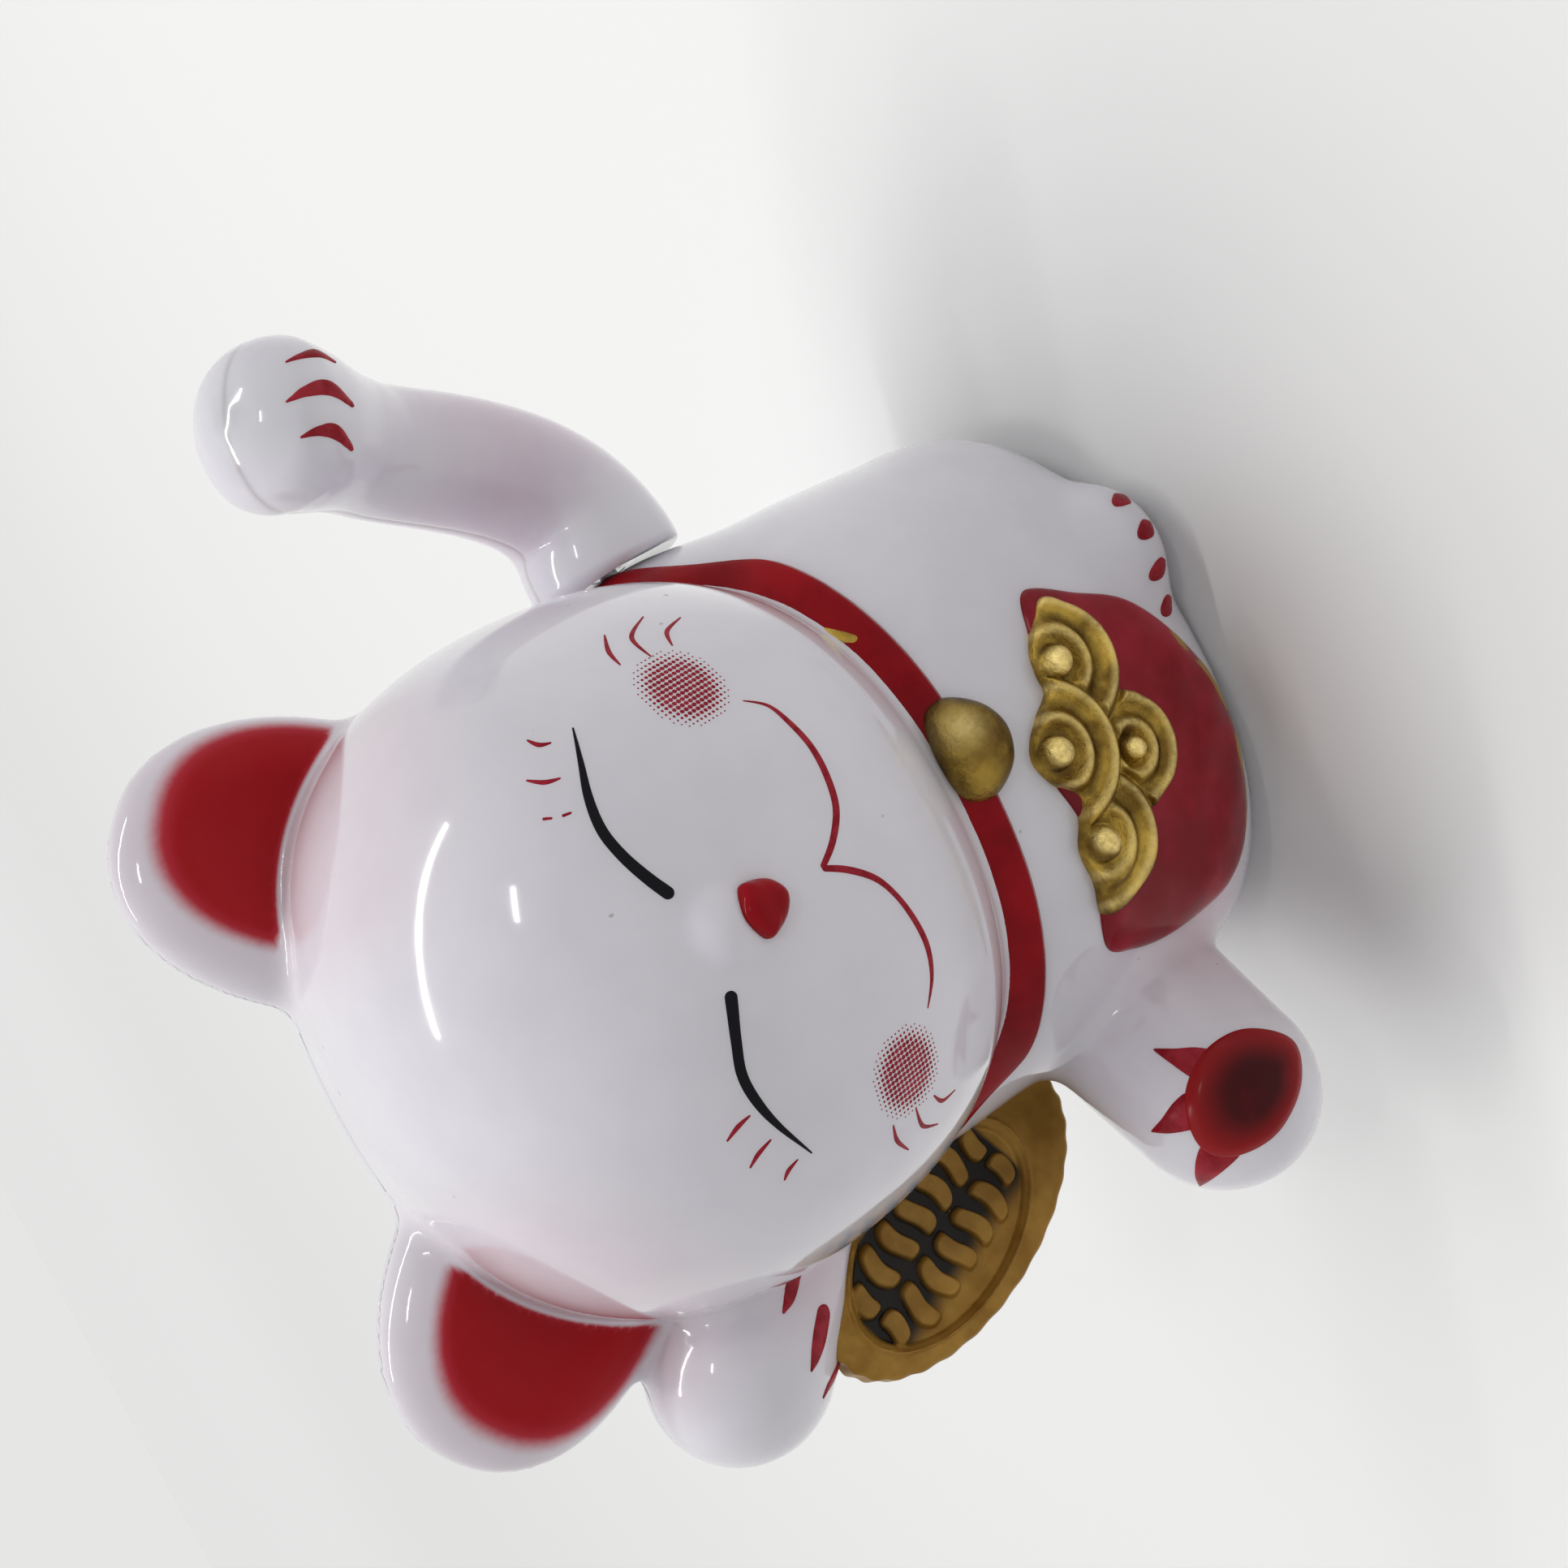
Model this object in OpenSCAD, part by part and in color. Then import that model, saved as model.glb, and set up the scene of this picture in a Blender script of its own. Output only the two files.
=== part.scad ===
// Beckoning cat figurine: two moulded shells, a swinging arm with its pendulum drive, and a one-cell base.
// Origin: centre of the base on the surface it stands on. +Z is up and the cat faces -Y.

/* [Head] */
// Width of the head across the cheeks
head_w = 66; // [60:1:72]
// Depth of the head from nose to nape
head_d = 68; // [62:1:74]
// Height of the head without its ears
head_h = 62; // [56:1:68]
// Height of the middle of the head above the floor
head_z = 60.5; // [57:0.5:64]
// Length of an ear past the middle of its root
ear_l = 18.7; // [14:0.1:22]
// Half width of an ear
ear_w = 13.3; // [11:0.1:15]
// Thickness of an ear from front to back
ear_t = 11; // [9:0.5:14]
// Depth of the dish in the front of an ear
ear_dish = 2.6; // [1.5:0.1:3.2]

/* [Body] */
// Width of the body
body_w = 66; // [62:1:74]
// Depth of the body
body_d = 55; // [52:1:62]
// Height of the middle of the body above the floor
body_z = 20.5; // [19:0.5:23]
// Half height of the body
body_h = 25; // [23.5:0.5:28]
// Half width of a shoulder
shoulder_r = 11.5; // [10:0.5:13]
// Radius of the raised foot
foot_r = 9.6; // [8:0.1:10.5]
// Radius of the paw on the coin
paw_r = 9.2; // [8:0.1:10]
// Wall of the two shells
wall = 1.8; // [1.4:0.1:2.2]
// Depth position of the parting line between the shells
seam_y = 4; // [3:0.5:5]

/* [Arm and drive] */
// Height of the arm's axle above the floor
pivot_z = 42.6; // [41.6:0.1:44]
// Radius of the arm's round root
root_r = 8.3; // [7.5:0.1:9]
// Radius of the forearm
arm_r = 6.9; // [6:0.1:7.5]
// Radius of the raised paw
fist_r = 7.7; // [7.2:0.1:9]
// Wall of the arm's two halves
arm_wall = 1.3; // [1:0.1:1.6]
// Gap between the arm's root and the body
arm_gap = 0.5; // [0.4:0.1:0.8]
// Diameter of the steel axle
axle_d = 2; // [1.8:0.1:2.4]
// Radial running clearance of the axle in its bearings
axle_fit = 0.05; // [0.03:0.01:0.08]
// Length of the pendulum from the axle to the magnet's face
pendulum_l = 19.5; // [17:0.1:20]
// Diameter of the drive magnet
magnet_d = 8; // [6:0.5:9]
// Thickness of the drive magnet
magnet_t = 2.5; // [2:0.1:3]
// Outer diameter of the drive coil
coil_d = 15; // [13:0.5:16]

/* [Base and battery] */
// Thickness of the base plate
base_t = 2; // [1.8:0.1:2.4]
// Diameter of the battery cell
cell_d = 10.3; // [9.5:0.1:10.5]
// Length of the battery cell with its button
cell_l = 44.3; // [40:0.1:44.5]
// Depth position of the battery cell
cell_y = 1; // [0:0.5:1.5]
// Wall of the battery box
box_wall = 1.2; // [1:0.1:1.5]
// Diameter of a self-tapping screw
screw_d = 2; // [1.8:0.1:2.4]

/* [Coin] */
// Length of the oval coin
coin_l = 37.6; // [34:0.2:42]
// Width of the oval coin
coin_w = 19.4; // [17:0.2:22]
// Thickness of the oval coin
coin_t = 3; // [2.5:0.1:3.5]

/* [Hidden] */
$fn = 48;

slack = 0.3;                      // gap left between pieces that only lie beside each other
core = [0, seam_y, 39];           // every wall of the shells is seen straight from this point
blend = 5;                        // radius of the soft hollows where two forms meet

// The head and body as rounded masses: centre, half sizes, roundness in plan and in height.
head_c = [0, 1, head_z];
head_r = [head_w / 2, head_d / 2, head_h / 2];
body_c = [0, 1, body_z];
body_r = [body_w / 2, body_d / 2, body_h];
plan_round = 2.3;
side_round = 3.6;

// Limbs as tapered rods: two ends and their radii.
ear_root = [20, seam_y, head_z + 21];
ear_tilt = 54;
shoulder = [body_w / 2 - shoulder_r + 0.5, seam_y - 2, 41];
paw_at = [-head_w / 2 - 5.8, 3, head_z + 10];
hip_at = [-23, -3, 19];
foot_at = [-38.6, -20, 23.4];
toes_at = [11.5, -19.5, 5.2];
toes_r = [8.2, 8, 5.5];
thigh_at = [19, -5, 11];
thigh_r = [12.5, 15, 11];
tail_root = [0, 24, 14];
tail_tip = [5, 29.5, 24];
tail_r = 5.6;

// ---------- shape of the cat ----------

function unit(v) = v / norm(v);
function radial(p, k) = norm(p) * (1 - 1 / max(k, 0.001));

// Signed gap from a point to a rounded mass that is made smaller by inset.
function mass_gap(p, c, r, plan, side, inset) =
    let (q = p - c, s = r - [inset, inset, inset])
    let (ring = pow(pow(abs(q.x / s.x), plan) + pow(abs(q.y / s.y), plan), side / plan))
    radial(q, pow(ring + pow(abs(q.z / s.z), side), 1 / side));

// Signed gap to a rod that tapers from radius ra at a to rb at b.
function rod_gap(p, a, b, ra, rb, inset) =
    let (ab = b - a, t = max(0, min(1, (p - a) * ab / (ab * ab))))
    norm(p - a - t * ab) - ra - t * (rb - ra) + inset;

function soft_min(a, b, k) = min(a, b) - pow(max(k - abs(a - b), 0), 2) / (4 * k);
function soft_max(a, b, k) = -soft_min(-a, -b, k);

// A point as the right ear sees it: along the ear, across it, and through its thickness.
function ear_frame(p) =
    let (q = [abs(p.x), p.y, p.z] - ear_root)
    [q.x * sin(ear_tilt) - q.z * cos(ear_tilt), q.y, q.x * cos(ear_tilt) + q.z * sin(ear_tilt)];

function ear_gap(p, inset) =
    let (q = ear_frame(p))
    let (plate = mass_gap(q, [0, 0, 0], [ear_w, ear_t / 2, ear_l], 2.2, 2.2, inset))
    let (dish_at = [0.5, -ear_t / 2 - 1.4, 1.5])
    let (dish = mass_gap(q, dish_at, [ear_w - 3.2, ear_dish + 1.4, ear_l - 3.5], 2, 2, -inset))
    soft_max(plate, -dish, 1.5);

function head_gap(p, inset) = mass_gap(p, head_c, head_r, plan_round, plan_round, inset);
function body_gap(p, inset) = mass_gap(p, body_c, body_r, plan_round, side_round, inset);

// The trunk: head, body and shoulders, with a soft but narrow neck line.
function trunk_gap(p, inset) =
    let (sh = [shoulder_r, shoulder_r, shoulder_r + 1])
    let (shoulders = mass_gap([abs(p.x), p.y, p.z], shoulder, sh, 2, 2, inset))
    soft_min(head_gap(p, inset), soft_min(body_gap(p, inset), shoulders, blend), 2);

function limb_gap(p, inset) =
    let (leg = rod_gap(p, hip_at, foot_at, foot_r + 1.5, foot_r, inset))
    let (arm = rod_gap(p, [-shoulder.x, seam_y + 6, shoulder.z], paw_at, 7, paw_r, inset))
    let (tail = rod_gap(p, tail_root, tail_tip, tail_r + 1, tail_r, inset))
    let (thigh = mass_gap(p, thigh_at, thigh_r, 2, 2, inset))
    let (toes = mass_gap(p, toes_at, toes_r, 2, 2, inset))
    min(soft_min(thigh, toes, 3), leg, arm, tail);

function cat_gap(p, inset) =
    let (trunk = soft_min(trunk_gap(p, inset), ear_gap(p, inset), 2))
    soft_min(trunk, limb_gap(p, inset), 2.5);

// How far the surface lies from a point inside along one direction.
function reach(from, dir, inset, near, far, steps) =
    let (mid = (near + far) / 2)
    steps == 0 ? mid
    : cat_gap(from + dir * mid, inset) < 0 ? reach(from, dir, inset, mid, far, steps - 1)
    : reach(from, dir, inset, near, mid, steps - 1);

around = 96;                      // points round the parting line
farthest = 90;
halvings = 13;

// Angle of a ring above the parting line; the rings crowd towards it, where the thin ears stand.
function ring_lift(ring, rings) = 90 * pow(ring / rings, 1.5);

// One skin of a shell: rings of points from the parting line to the pole. side is -1 for the front.
function skin(side, inset, rings) = [
    for (ring = [0 : rings - 1], i = [0 : around - 1])
        let (lift = ring_lift(ring, rings), turn = 360 * i / around)
        let (dir = [cos(turn) * cos(lift), side * sin(lift), sin(turn) * cos(lift)])
        core + dir * reach(core, dir, inset, 0, farthest, halvings),
    core + [0, side, 0] * reach(core, [0, side, 0], inset, 0, farthest, halvings)
];

function wrap(i) = i % around;

// Triangles of one skin; flip turns them over for the inner wall.
function skin_faces(first, rings, flip) = [
    for (ring = [0 : rings - 2], i = [0 : around - 1])
        let (a = first + ring * around + i, b = first + ring * around + wrap(i + 1))
        for (t = [[a, b, b + around], [a, b + around, a + around]])
            flip ? [t[2], t[1], t[0]] : t,
    for (i = [0 : around - 1])
        let (last = first + (rings - 1) * around, pole = first + rings * around)
        let (t = [last + i, last + wrap(i + 1), pole])
        flip ? [t[2], t[1], t[0]] : t
];

// A closed half shell: outer skin, inner skin, and the flat rim between them.
module half_shell(side, rings) {
    inner = rings * around + 1;
    turned = side < 0;
    rim = [
        for (i = [0 : around - 1])
            for (t = [[i, inner + i, inner + wrap(i + 1)], [i, inner + wrap(i + 1), wrap(i + 1)]])
                turned ? [t[2], t[1], t[0]] : t
    ];
    polyhedron(
        points = concat(skin(side, 0, rings), skin(side, wall, rings)),
        faces = concat(skin_faces(0, rings, turned), skin_faces(inner, rings, !turned), rim)
    );
}

// ---------- shells ----------

// The bay that the cell lies in, and the box round it, which goes up through the opening.
contact_t = 0.4;
spring_l = 3.4;
bay_l = cell_l + spring_l + 2 * contact_t;
bay_left = -bay_l / 2;
bay_w = cell_d + 2 * slack;
box_l = bay_l + 2 * box_wall;
box_w = bay_w + 2 * box_wall;

// The opening under the body: the base plate's outline, grown by a gap.
foot_w = body_w * 0.8;
foot_d = body_d * 0.77;
foot_y = body_c.y;

function oval(w, d, steps) = [
    for (i = [0 : steps - 1])
        let (t = 360 * i / steps, k = pow(pow(abs(cos(t)), plan_round) + pow(abs(sin(t)), plan_round), -1 / plan_round))
        [w / 2 * k * cos(t), d / 2 * k * sin(t)]
];

module base_outline(grow) {
    translate([0, foot_y])
        polygon(oval(foot_w + 2 * grow, foot_d + 2 * grow, 48));
}

post_r = 2.9;
pilot_r = screw_d / 2 - 0.2;
post_top = base_t + 9;
post_x = foot_w * 0.33;
post_y = foot_d * 0.32;
front_posts = [[-post_x, foot_y - post_y], [post_x, foot_y - post_y]];
rear_posts = [[-post_x, foot_y + post_y], [post_x, foot_y + post_y]];
rib_t = 1.6;
rib_low = 4.5;                    // the rib starts where the wall stands nearly upright
rib_high = post_top - 2;

// Distance from a post to the middle of the wall, straight out at one height.
function post_reach(p, z) = reach([p.x, p.y, z], unit([p.x, p.y - foot_y, 0]), wall / 2, 0, foot_w, halvings);

// Screw posts, each tied to the wall by a rib.
module posts(places) {
    for (p = places) {
        translate([p.x, p.y, base_t])
            cylinder(h = post_top - base_t, r = post_r);
        translate([p.x, p.y, rib_low])
            rotate(atan2(p.y - foot_y, p.x))
                translate([0, -rib_t / 2, 0])
                    cube([post_reach(p, (rib_low + rib_high) / 2), rib_t, rib_high - rib_low]);
    }
}

module pilot_holes(places) {
    for (p = places)
        translate([p.x, p.y, base_t - 1])
            cylinder(h = 8.5, r = pilot_r);
}

// Everything below the floor, the base opening, and the round hole that the axle turns in.
module shell_cuts() {
    translate([-60, -60, -30])
        cube([120, 120, 30]);
    translate([0, 0, -1])
        linear_extrude(base_t + 1 + slack)
            base_outline(slack);
    translate([-box_l / 2 - slack, cell_y - box_w / 2 - slack, base_t - slack])
        cube([box_l + 2 * slack, box_w + 2 * slack, box_top - base_t]);
    translate([body_w / 2 - 6, seam_y, pivot_z])
        rotate([0, 90, 0])
            cylinder(h = 12, r = axle_d / 2 + 1);
}

module front_shell() {
    color([0.95, 0.94, 0.95])
        difference() {
            union() {
                half_shell(-1, 22);
                posts(front_posts);
            }
            shell_cuts();
            pilot_holes(front_posts);
            coin_slot();
        }
}

module rear_shell() {
    color([0.93, 0.92, 0.94])
        difference() {
            union() {
                half_shell(1, 18);
                posts(rear_posts);
            }
            shell_cuts();
            pilot_holes(rear_posts);
        }
}

// ---------- coin ----------

coin_at = [-38.3, -1.3, 46];
coin_turn = [0, -16, 12];
coin_scallops = 30;
coin_border = [2.1, 5.4];         // width of the coin's border at the sides and at its ends
coin_panel_up = 2.2;              // how far the sunk panel sits above the middle

module in_coin_place() {
    translate(coin_at)
        rotate(coin_turn)
            rotate([90, 0, 0])
                children();
}

function scalloped(w, l, depth, count, steps) = [
    for (i = [0 : steps - 1])
        let (t = 360 * i / steps, ripple = 1 - depth * pow(abs(sin(count * t / 2)), 4))
        [w / 2 * ripple * cos(t), l / 2 * ripple * sin(t)]
];

module koban_coin() {
    ridge_w = coin_w * 0.5;
    color([0.8, 0.55, 0.1])
        in_coin_place()
            difference() {
                linear_extrude(coin_t, center = true)
                    polygon(scalloped(coin_w, coin_l, 0.03, coin_scallops, 6 * coin_scallops));
                translate([0, coin_panel_up, coin_t / 2 - 0.6])
                    difference() {
                        linear_extrude(1)
                            polygon(oval(coin_w - 2 * coin_border.x, coin_l - 2 * coin_border.y, 48));
                        for (i = [-3 : 3])
                            translate([-ridge_w / 2, i * coin_l * 0.08 - 0.5, -0.5])
                                cube([ridge_w, 1, 2]);
                    }
            }
}

// The slot in the cheek, shoulder, leg and paw that the coin's edge is tucked into.
module coin_slot() {
    in_coin_place()
        linear_extrude(coin_t + 2 * slack, center = true)
            polygon(scalloped(coin_w + 2 * slack, coin_l + 2 * slack, 0, 1, 60));
}

// ---------- swinging arm ----------

root_x = body_w / 2 + 0.5 + arm_gap;
pivot = [root_x, seam_y, pivot_z];

// Stations along the arm: offset from the middle of the root, and radius there.
arm_stations = [
    [[0, 0, 0], root_r],
    [[2.5, 0, 0], root_r],
    [[6.5, 0, -0.1], arm_r + 0.7],
    [[10.5, -0.6, 1.6], arm_r + 0.3],
    [[13.6, -2, 6.1], arm_r],
    [[16, -3.6, 12], arm_r - 0.2],
    [[17.8, -5.6, 18], arm_r - 0.1],
    [[19.4, -8.8, 22.8], fist_r - 1.1],
    [[20.6, -12.1, 27.2], fist_r],
    [[21.2, -13.7, 29.9], fist_r * 0.93],
    [[21.8, -15.1, 32.4], fist_r * 0.7],
    [[22.2, -16, 33.9], fist_r * 0.4],
    [[22.3, -16.3, 34.4], fist_r * 0.12]
];
arm_last = len(arm_stations) - 1;

function spline(a, b, c, d, t) =
    (2 * b + (c - a) * t + (2 * a - 5 * b + 4 * c - d) * t * t + (3 * b - a - 3 * c + d) * t * t * t) / 2;

function station(i) = arm_stations[max(0, min(arm_last, i))];
function arm_at(s) =
    let (i = min(floor(s), arm_last - 1), t = s - i)
    pivot + spline(station(i - 1)[0], station(i)[0], station(i + 1)[0], station(i + 2)[0], t);
function arm_radius(s) =
    let (i = min(floor(s), arm_last - 1), t = s - i)
    max(0.8, spline(station(i - 1)[1], station(i)[1], station(i + 1)[1], station(i + 2)[1], t));

function arm_heading(s) = s < 0.05 ? [1, 0, 0] : unit(arm_at(min(s + 0.05, arm_last)) - arm_at(s - 0.05));

// The side direction keeps to one plane, so that the parting line runs straight along the arm.
arm_sideways = [0.83, 0, -0.56];
function arm_front(s) = let (h = arm_heading(s)) s < 1.5 ? [0, -1, 0] : unit(cross(arm_sideways, h));

arm_steps = 24;
arc_steps = 11;

// One closed ring of a half tube: the outer arc, then the inner arc back again.
function half_ring(s, side) =
    let (h = arm_heading(s), front = side * arm_front(s), across = cross(h, front))
    let (at = arm_at(s), r = arm_radius(s))
    concat(
        [for (k = [0 : arc_steps]) let (t = 180 * k / arc_steps) at + r * (cos(t) * across + sin(t) * front)],
        [for (k = [arc_steps : -1 : 0]) let (t = 180 * k / arc_steps, ri = max(r - arm_wall, 0.4))
            at + ri * (cos(t) * across + sin(t) * front)]
    );

// Triangles that close one end of a row of rings, from each point to the one that faces it.
function end_faces(first, n, flip) = [
    for (k = [0 : n / 2 - 2])
        let (a = first + k, b = first + n - 1 - k)
        for (t = [[a, a + 1, b - 1], [a, b - 1, b]])
            flip ? [t[2], t[1], t[0]] : t
];

// A solid through a row of rings that all have the same number of points.
module ring_solid(rings) {
    n = len(rings[0]);
    last = len(rings) - 1;
    polyhedron(
        points = [for (ring = rings) each ring],
        faces = concat(
            end_faces(0, n, true),
            [
                for (r = [0 : last - 1], i = [0 : n - 1])
                    let (a = r * n + i, b = r * n + (i + 1) % n)
                    for (t = [[a, b, b + n], [a, b + n, a + n]])
                        t
            ],
            end_faces(last * n, n, false)
        )
    );
}

module arm_half(side) {
    ring_solid([for (k = [0 : arm_steps]) half_ring(arm_last * k / arm_steps, side)]);
}

module arm_front_half() {
    color([0.95, 0.94, 0.96])
        arm_half(1);
}

module arm_rear_half() {
    color([0.92, 0.91, 0.94])
        arm_half(-1);
}

hub_disc = 2.2;                   // thickness of the hub's disc, which fills the mouth of the arm's root
hub_l = 5;
hub_r = (root_r - arm_wall) * cos(90 / arc_steps) - 0.1;
axle_grip = 4;                    // length of axle held in the hub

module arm_hub() {
    color([0.9, 0.9, 0.9])
        difference() {
            translate(pivot)
                rotate([0, 90, 0]) {
                    cylinder(h = hub_disc, r = hub_r);
                    cylinder(h = hub_l, r = hub_r * 0.55);
                }
            translate(pivot - [1, 0, 0])
                rotate([0, 90, 0])
                    cylinder(h = axle_grip + 1, r = axle_d / 2);
        }
}

// ---------- drive ----------

cheek_t = 2;                      // thickness of a bearing cheek
near_cheek = 24;
far_cheek = 4;
lever_t = 3;
lever_x = (near_cheek + far_cheek + cheek_t) / 2;
axle_end = far_cheek - 2;

cell_z = base_t + slack + cell_d / 2;
box_top = cell_z + cell_d / 2 + slack + box_wall;
floor_t = 1.5;                    // thickness of the drive frame's floor
frame_floor = box_top + floor_t;

module pendulum_axle() {
    color([0.75, 0.76, 0.78])
        translate([axle_end, seam_y, pivot_z])
            rotate([0, 90, 0])
                cylinder(h = root_x + axle_grip - axle_end, r = axle_d / 2);
}

magnet_z = pivot_z - pendulum_l;
weight_w = 6.5;
weight_l = 15;
weight_h = 8;
weight_lean = 2.3;                // how far behind the axle the weight hangs, to balance the forward paw
weight_z = magnet_z + magnet_t + 1.4;

module pendulum_lever() {
    side = (weight_w + 2.4) / 2;
    color([0.85, 0.85, 0.83])
        difference() {
            union() {
                translate([lever_x - lever_t / 2, seam_y, pivot_z])
                    rotate([0, 90, 0])
                        cylinder(h = lever_t, r = 3);
                translate([lever_x - lever_t / 2, seam_y - 2, weight_z + weight_h])
                    cube([lever_t, 4, pivot_z - weight_z - weight_h]);
                translate([lever_x - side, seam_y + weight_lean - 4, magnet_z + 0.5])
                    cube([2 * side, 8, weight_z + weight_h + 1.2 - magnet_z - 0.5]);
                translate([lever_x, seam_y, magnet_z + 0.5])
                    cylinder(h = weight_z - magnet_z - 0.5, r = magnet_d / 2 + 1);
            }
            translate([lever_x - lever_t, seam_y, pivot_z])
                rotate([0, 90, 0])
                    cylinder(h = 2 * lever_t, r = axle_d / 2);
            translate([lever_x - weight_w / 2, seam_y + weight_lean - weight_l / 2, weight_z])
                cube([weight_w, weight_l, weight_h]);
            translate([lever_x, seam_y, magnet_z - 1])
                cylinder(h = magnet_t + 1, r = magnet_d / 2);
        }
}

module counterweight() {
    color([0.5, 0.5, 0.52])
        translate([lever_x - weight_w / 2, seam_y + weight_lean - weight_l / 2, weight_z])
            cube([weight_w, weight_l, weight_h]);
}

module drive_magnet() {
    color([0.35, 0.35, 0.37])
        translate([lever_x, seam_y, magnet_z])
            cylinder(h = magnet_t, r = magnet_d / 2);
}

frame_x = [-22, near_cheek + cheek_t];
frame_y = [seam_y - 9, seam_y + 9];
frame_bolts = [[-19.5, seam_y - 2], [-1, cell_y + box_w / 2 + 1.6]];
bobbin_foot = 2.5;                // radius of the peg under the bobbin

module bearing_cheek(x) {
    difference() {
        union() {
            translate([x, seam_y - 6, box_top])
                cube([cheek_t, 12, pivot_z - box_top]);
            translate([x, seam_y, pivot_z])
                rotate([0, 90, 0])
                    cylinder(h = cheek_t, r = 6);
        }
        translate([x - 1, seam_y, pivot_z])
            rotate([0, 90, 0])
                cylinder(h = cheek_t + 2, r = axle_d / 2 + axle_fit);
    }
}

module drive_frame() {
    color([0.8, 0.82, 0.8])
        difference() {
            union() {
                translate([frame_x[0], frame_y[0], box_top])
                    cube([frame_x[1] - frame_x[0], frame_y[1] - frame_y[0], floor_t]);
                bearing_cheek(near_cheek);
                bearing_cheek(far_cheek);
            }
            for (b = frame_bolts)
                translate([b.x, b.y, box_top - 1])
                    cylinder(h = floor_t + 2, r = screw_d / 2 + 0.2);
            translate([lever_x, seam_y, box_top - 1])
                cylinder(h = floor_t + 2, r = bobbin_foot + 0.05);
        }
}

head_r_screw = screw_d * 0.95;
head_h_screw = 1;
screw_seat = 1.2;                 // how high the heads of the base screws are sunk

// A pan head screw that points down from the underside of its head, with a cross in its head.
module screw(length) {
    difference() {
        union() {
            cylinder(h = head_h_screw, r = head_r_screw);
            translate([0, 0, -length])
                cylinder(h = length + 0.1, r = screw_d / 2 - 0.2);
        }
        for (turn = [0, 90])
            rotate([0, 0, turn])
                translate([-head_r_screw * 0.6, -0.25, head_h_screw - 0.6])
                    cube([head_r_screw * 1.2, 0.5, 1]);
    }
}

module frame_screws() {
    color([0.6, 0.6, 0.62])
        for (b = frame_bolts)
            translate([b.x, b.y, frame_floor])
                screw(floor_t + box_wall - 0.1);
}

coil_gap = 1.1;                   // air gap between the coil and the magnet
bobbin_h = magnet_z - coil_gap - frame_floor;
flange_t = 0.9;

module coil_bobbin() {
    color([0.93, 0.93, 0.9])
        translate([lever_x, seam_y, frame_floor])
            difference() {
                union() {
                    cylinder(h = flange_t, r = coil_d / 2);
                    cylinder(h = bobbin_h, r = 3.2);
                    translate([0, 0, bobbin_h - flange_t])
                        cylinder(h = flange_t, r = coil_d / 2);
                    translate([0, 0, -floor_t])
                        cylinder(h = floor_t + 0.1, r = bobbin_foot);
                }
                translate([0, 0, flange_t])
                    cylinder(h = bobbin_h, r = 1.6);
            }
}

module coil_winding() {
    color([0.72, 0.4, 0.2])
        translate([lever_x, seam_y, frame_floor + flange_t])
            difference() {
                cylinder(h = bobbin_h - 2 * flange_t, r = coil_d / 2 - 0.8);
                translate([0, 0, -1])
                    cylinder(h = bobbin_h, r = 3.2);
            }
}

board_x = [-16, 2.5];
board_y = [seam_y - 8, seam_y + 2.7];
board_t = 1.2;
board_top = frame_floor + board_t;

module circuit_board() {
    color([0.65, 0.5, 0.25])
        translate([board_x[0], board_y[0], frame_floor])
            cube([board_x[1] - board_x[0], board_y[1] - board_y[0], board_t]);
}

module transistor() {
    color([0.1, 0.1, 0.1])
        translate([-11.5, seam_y - 3, board_top]) {
            translate([0, 0, 2])
                difference() {
                    cylinder(h = 4.5, r = 2.3);
                    translate([-3, 1.2, -1])
                        cube([6, 3, 7]);
                }
            for (x = [-1.27, 0, 1.27])
                translate([x, 0, 0])
                    cylinder(h = 2, r = 0.25);
        }
}

module capacitor() {
    color([0.1, 0.15, 0.35])
        translate([-3.5, seam_y - 4, board_top])
            difference() {
                cylinder(h = 7, r = 2.5);
                translate([0, 0, 6.7])
                    cylinder(h = 1, r = 1.9);
            }
}

module resistor() {
    color([0.8, 0.7, 0.5])
        translate([-10, seam_y + 1.2, board_top + 1.2])
            rotate([0, 90, 0]) {
                cylinder(h = 6, r = 1.1);
                translate([0, 0, -2])
                    cylinder(h = 10, r = 0.3);
            }
}

// ---------- base and battery ----------

door_l = cell_l + 1.5;
door_w = cell_d + 1.2;
door_t = 1.2;
door_z = 0.3;
lip = 1;                          // ledge that carries the door's edge

hinge_l = 1;                      // length of a hinge pin past the door's edge
hinge_r = 0.5;
hinge_fit = 0.05;

// The door's two hinge pins, or the holes for them, as one bar across the door's end.
module door_hinge(reach_y, r) {
    translate([-door_l / 2 + door_t / 2, cell_y - reach_y, door_z + door_t / 2])
        rotate([-90, 0, 0])
            cylinder(h = 2 * reach_y, r = r);
}

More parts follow.
